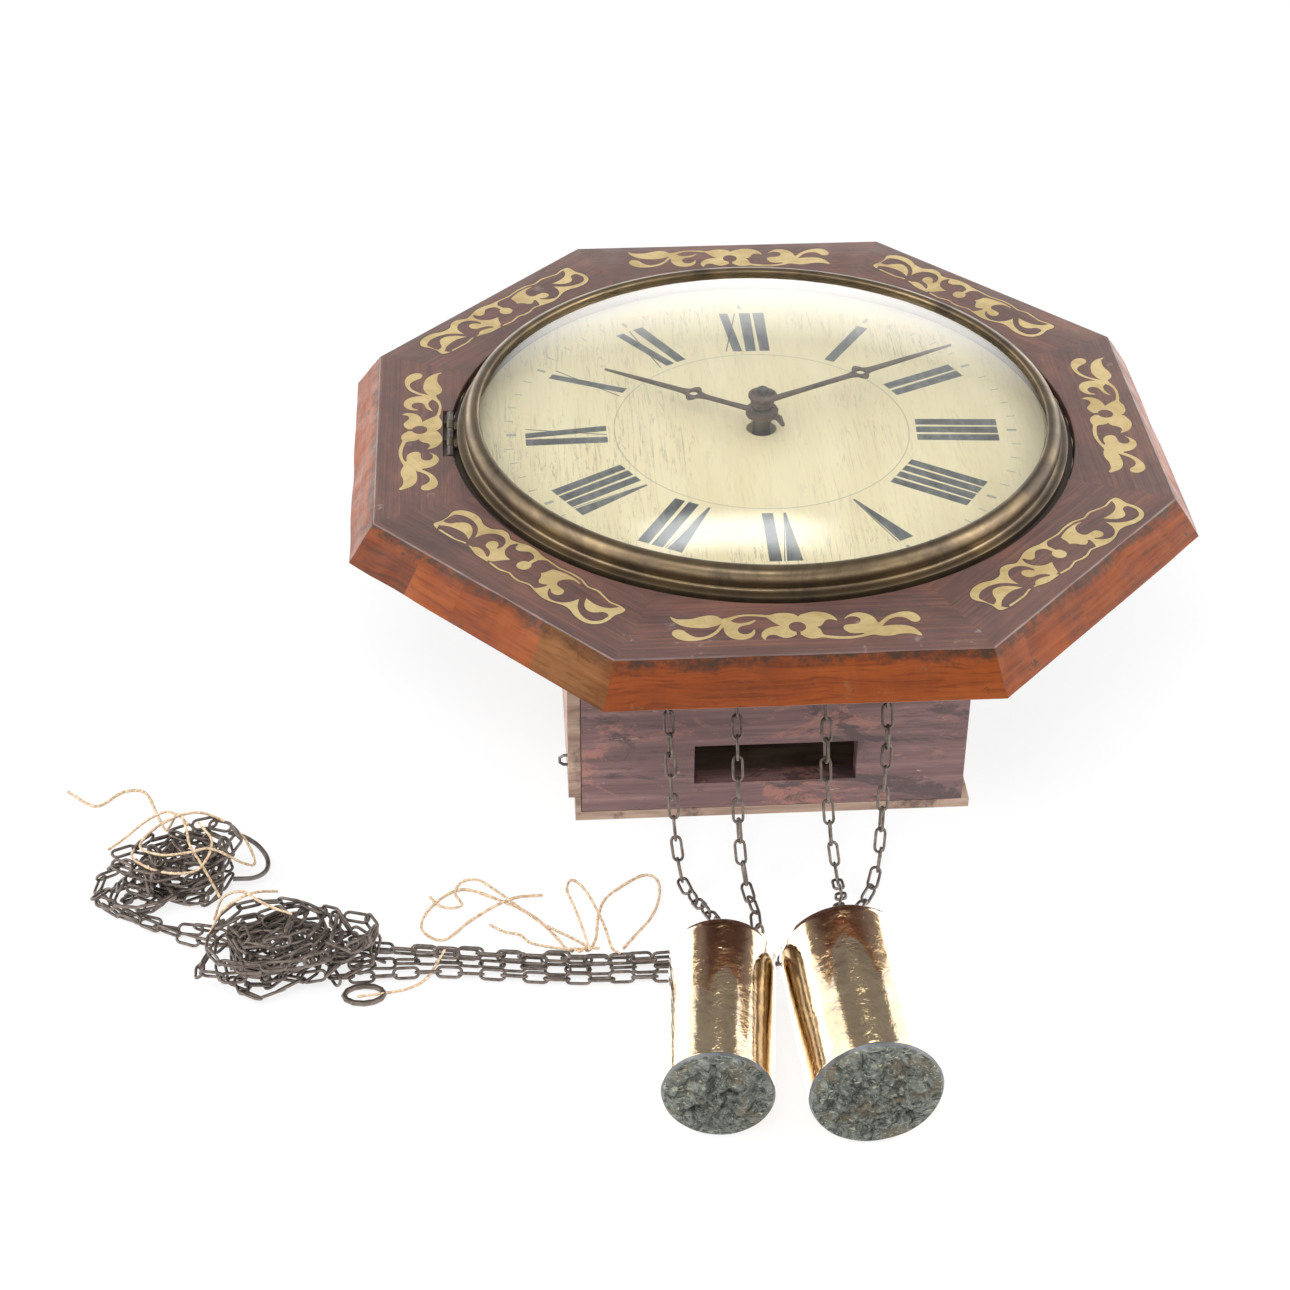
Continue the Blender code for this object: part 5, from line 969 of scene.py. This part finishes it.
# The wound parts: middle, half sizes and the angle where each begins
HANK_NEAR = ((-186.6, -180.5), 22.5, 17, 0)
HANK_FAR = ((-222, -134.5), 17.5, 13.5, math.pi)
HEAP_MIDDLES = (((-184, -178), 14.5, 11.5, 0.8), ((-191, -183), 15, 10.5, 2.9),
                ((-221.5, -136), 12.5, 10.5, 1.6), ((-161.5, -183), 11, 8.5, 1.7),
                ((-238.5, -144), 12, 9, 2.4))
HEAP_SIDE = (
    (-244, -151, 3), (-236, -157.5, 3), (-224, -164.5, 3), (-212, -169.5, 3), (-201, -174, 5))


def smooth_route(route, count):
    """Points at even steps along a smooth curve through a route in millimetres, in metres."""
    stops = [Vector(p) * MM for p in route]
    ends = [2 * stops[0] - stops[1], *stops, 2 * stops[-1] - stops[-2]]
    fine = []
    for a, b, c, d in zip(ends, ends[1:], ends[2:], ends[3:]):
        for i in range(12):
            t = i / 12
            fine.append(0.5 * (2 * b + (c - a) * t + (2 * a - 5 * b + 4 * c - d) * t * t
                               + (3 * b - a - 3 * c + d) * t ** 3))
    fine.append(stops[-1])
    return even_points(fine, count)


def even_points(points, count):
    lengths = [0]
    for a, b in zip(points, points[1:]):
        lengths.append(lengths[-1] + (b - a).length)
    made = []
    at = 0
    for i in range(count):
        want = lengths[-1] * i / (count - 1)
        while at < len(points) - 2 and lengths[at + 1] < want:
            at += 1
        span = max(lengths[at + 1] - lengths[at], 1e-9)
        made.append(points[at].lerp(points[at + 1], min((want - lengths[at]) / span, 1)))
    return made


def route_length(points):
    return sum((b - a).length for a, b in zip(points, points[1:]))


def wound(centre, half_x, half_y, phase):
    """Loops that spiral in and out again, climbing a layer where the spiral reverses."""
    low, step = CHAIN_D / 2 + 0.3, CHAIN_D + 0.5
    made = []
    for i in range(int(LOOP_POINTS * HANK_LOOPS * HANK_LAYERS) + 1):
        t = i / LOOP_POINTS
        layer = min(int(t // HANK_LOOPS), HANK_LAYERS - 1)
        within = t - layer * HANK_LOOPS
        depth = within if layer % 2 == 0 else HANK_LOOPS - within
        into = min(1, max(0, (within + 0.25) / 0.5)) if layer else 1
        left = within - HANK_LOOPS
        before = min(1, max(0, (left + 0.25) / 0.5)) if layer < HANK_LAYERS - 1 else 0
        height = layer - (1 - into) + before
        a = phase + math.tau * t
        made.append(Vector((centre[0] + (half_x - step * depth) * math.cos(a),
                            centre[1] + (half_y - step * depth) * math.sin(a), low + step * height)) * MM)
    return made


def heaped(points, amount, seed):
    """A wound path, pushed about smoothly so that its loops cross."""
    made = []
    for i, p in enumerate(points):
        push = Vector([noise.noise(Vector((i * 0.19, seed + 0.4, 0.5 + axis * 7.3))) for axis in range(3)])
        near_end = min(1, i / 6, (len(points) - 1 - i) / 6)
        made.append(p + Vector((push.x, push.y * 0.8, max(-0.35, push.z) * 0.5)) * amount * near_end * MM)
    return made


def over_wheel(x, y, radius):
    arc = [Vector((x, y)) + polar(radius, math.pi * (1 - i / 10)) for i in range(11)]
    return [Vector((*p, CHAIN_Z)) * MM for p in arc]


def link_into(shape, centre, along, face):
    """One oval link of round wire, its flat side facing along the given direction."""
    along = along.normalized()
    face = (face - along * face.dot(along)).normalized()
    side = face.cross(along)
    path = []
    for end in (1, -1):
        for i in range(LINK_BENDS + 1):
            a = math.pi * (i / LINK_BENDS - 0.5)
            path.append((end * (LINK_RUN + LINK_BEND * math.cos(a)), end * LINK_BEND * math.sin(a),
                         end * math.cos(a), end * math.sin(a)))
    rows = []
    for x, y, nx, ny in path:
        at = centre + (along * x + side * y) * MM
        outward = along * nx + side * ny
        rows.append([shape.verts.new(at + (outward * math.cos(b) + face * math.sin(b)) * LINK_WIRE_R * MM)
                     for b in (math.tau * k / LINK_SIDES for k in range(LINK_SIDES))])
    skin(shape, rows)


def above_table(centre, along, face):
    """A link's centre, lifted until its lowest point is over the table."""
    along = along.normalized()
    side = (face - along * face.dot(along)).normalized().cross(along)
    reach = LINK_RUN * abs(along.z) + LINK_BEND * math.hypot(along.z, side.z) + LINK_WIRE_R
    return Vector((centre.x, centre.y, max(centre.z, (reach + 0.05) * MM)))


def chain(name, path, seed, jitter=0.35, lean=8, lies=False):
    """Interlocked links along a path, each a quarter turn from the last; on the table they lean in turn."""
    rng = random.Random(seed)
    length = route_length(path)
    count = max(4, round(length / (LINK_PITCH * MM)))
    stops = even_points(path, 2 * count + 1)
    shape = bmesh.new()
    for i in range(count):
        here, middle, there = stops[2 * i], stops[2 * i + 1], stops[2 * i + 2]
        along = there - here
        up = Vector((0, 0, 1))
        if abs(along.normalized().dot(up)) > 0.8:
            up = Vector((0, -1, 0.3))
        flat = lies and middle.z < LYING_Z * MM
        quarter = (38 if i % 2 else -42) if flat else (0 if i % 2 else 90)
        face = Matrix.Rotation(math.radians(quarter + rng.uniform(-lean, lean)), 3, along) @ up
        shift = Vector([rng.uniform(-jitter, jitter) for _ in range(3)]) * MM
        link_into(shape, above_table(middle + shift, along, face), along, face)
    node = name.replace("_links", "")
    stands_for = [node] if node in NODES else []
    thing = finish(name, shape, (LINK,), "case", "chain_steel", *stands_for, angle=180)


def chains():
    strike = smooth_route(STRIKE_WEIGHT_SIDE, 12) + over_wheel(-31, -30, 12.5)
    going = smooth_route(GOING_WEIGHT_SIDE, 12) + over_wheel(26.3, -30, 11.5)
    chain("strike_chain_links", strike + smooth_route(STRIKE_TAIL, 22), 11, lean=16, lies=True)
    chain("going_chain_links", going + smooth_route(GOING_TAIL, 24), 12, lean=16, lies=True)
    chain("chain_fold_links", smooth_route(CHAIN_FOLD, 24), 13, jitter=0.8, lean=40, lies=True)
    near = heaped(wound(*HANK_NEAR), 13, 3)
    far = smooth_route(CHAIN_LOOP, 12) + heaped(wound(*HANK_FAR), 11, 7)
    chain("chain_hank_near_links", near, 14, jitter=1, lean=75)
    chain("chain_hank_far_links", far, 15, jitter=1, lean=75)
    for i, middle in enumerate(HEAP_MIDDLES):
        inner = heaped(wound(*middle), 9, 21 + i)
        chain("heap_middle_links_%d" % i, inner, 31 + i, jitter=0.9, lean=80)
    chain("heap_side_links", smooth_route(HEAP_SIDE, 12), 41, jitter=0.6, lean=35)


def wire(name, points, radius, look, seed=None):
    """A round wire through the points; with a seed its thickness varies."""
    curve = bpy.data.curves.new(name, "CURVE")
    curve.dimensions = "3D"
    curve.bevel_depth = radius * MM
    curve.bevel_resolution = 3
    curve.use_fill_caps = True
    line = curve.splines.new("POLY")
    line.points.add(len(points) - 1)
    rng = random.Random(seed or 0)
    for point, place in zip(line.points, points):
        point.co = (*place, 1)
        point.radius = 1 if seed is None else rng.uniform(0.82, 1.1)
    curve.materials.append(look)
    thing = linked(name, curve)
    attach(thing, "case")
    return thing


def twine(name, points, radius, seed, *replaced):
    thing = wire(name, points, radius, HEMP, seed)
    if replaced:
        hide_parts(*replaced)


def twines():
    twine("middle_twine", smooth_route(TWINE_MIDDLE, 150), 0.55, 1, "twine_middle")
    twine("left_twine", smooth_route(TWINE_LEFT, 60), 0.55, 2, "twine_left")
    for i, route in enumerate(TWINE_LOOPS):
        twine("loose_twine_%d" % i, smooth_route(route, 10 * len(route)), 0.5, 10 + i)
    wire("iron_hook", smooth_route(IRON_HOOK, 40), 0.9, STEEL)


# Nodes that keep their model shape

def dress(look, *names):
    for name in names:
        NODES[name].material_slots[0].material = look


def dressed_nodes():
    dress(PINE, "top_board", "bottom_board", "right_door")
    dress(BARE, "back_board", "left_door")
    dress(STEEL, "left_hinge_leaf", "left_door_knuckle", "right_hinge_leaf", "right_door_knuckle",
          "left_door_pull", "bezel_hinge_leaf", "minute_arbor", "going_arbor", "strike_arbor",
          "anchor_and_crutch", "fly", "hammer", "gong", "left_weight_hook", "right_weight_hook")
    dress(IRON, "hour_hand", "minute_hand", "hand_collet", "hand_pin")
    # The hour wheel's pipe is darkened to paint the shade round the foot of the hands.
    dress(PAINTED_SHADE_BRASS, "hour_wheel")
    dress(LINK, "chain_end_ring")
    dress(PAINT, "dial_board")
    dress(BRASS, "minute_wheel", "intermediate_wheel", "front_plate", "back_plate", "going_great_wheel",
          "going_chain_wheel", "second_wheel", "escape_wheel", "strike_great_wheel", "strike_chain_wheel",
          "pin_wheel")


camera()
lamps()
backdrop()
tabletop()
octagonal_frame()
inlays()
dial_marks()
bezel()
domed_glass()
for each in WEIGHTS:
    weight(**each)
chains()
twines()
dressed_nodes()
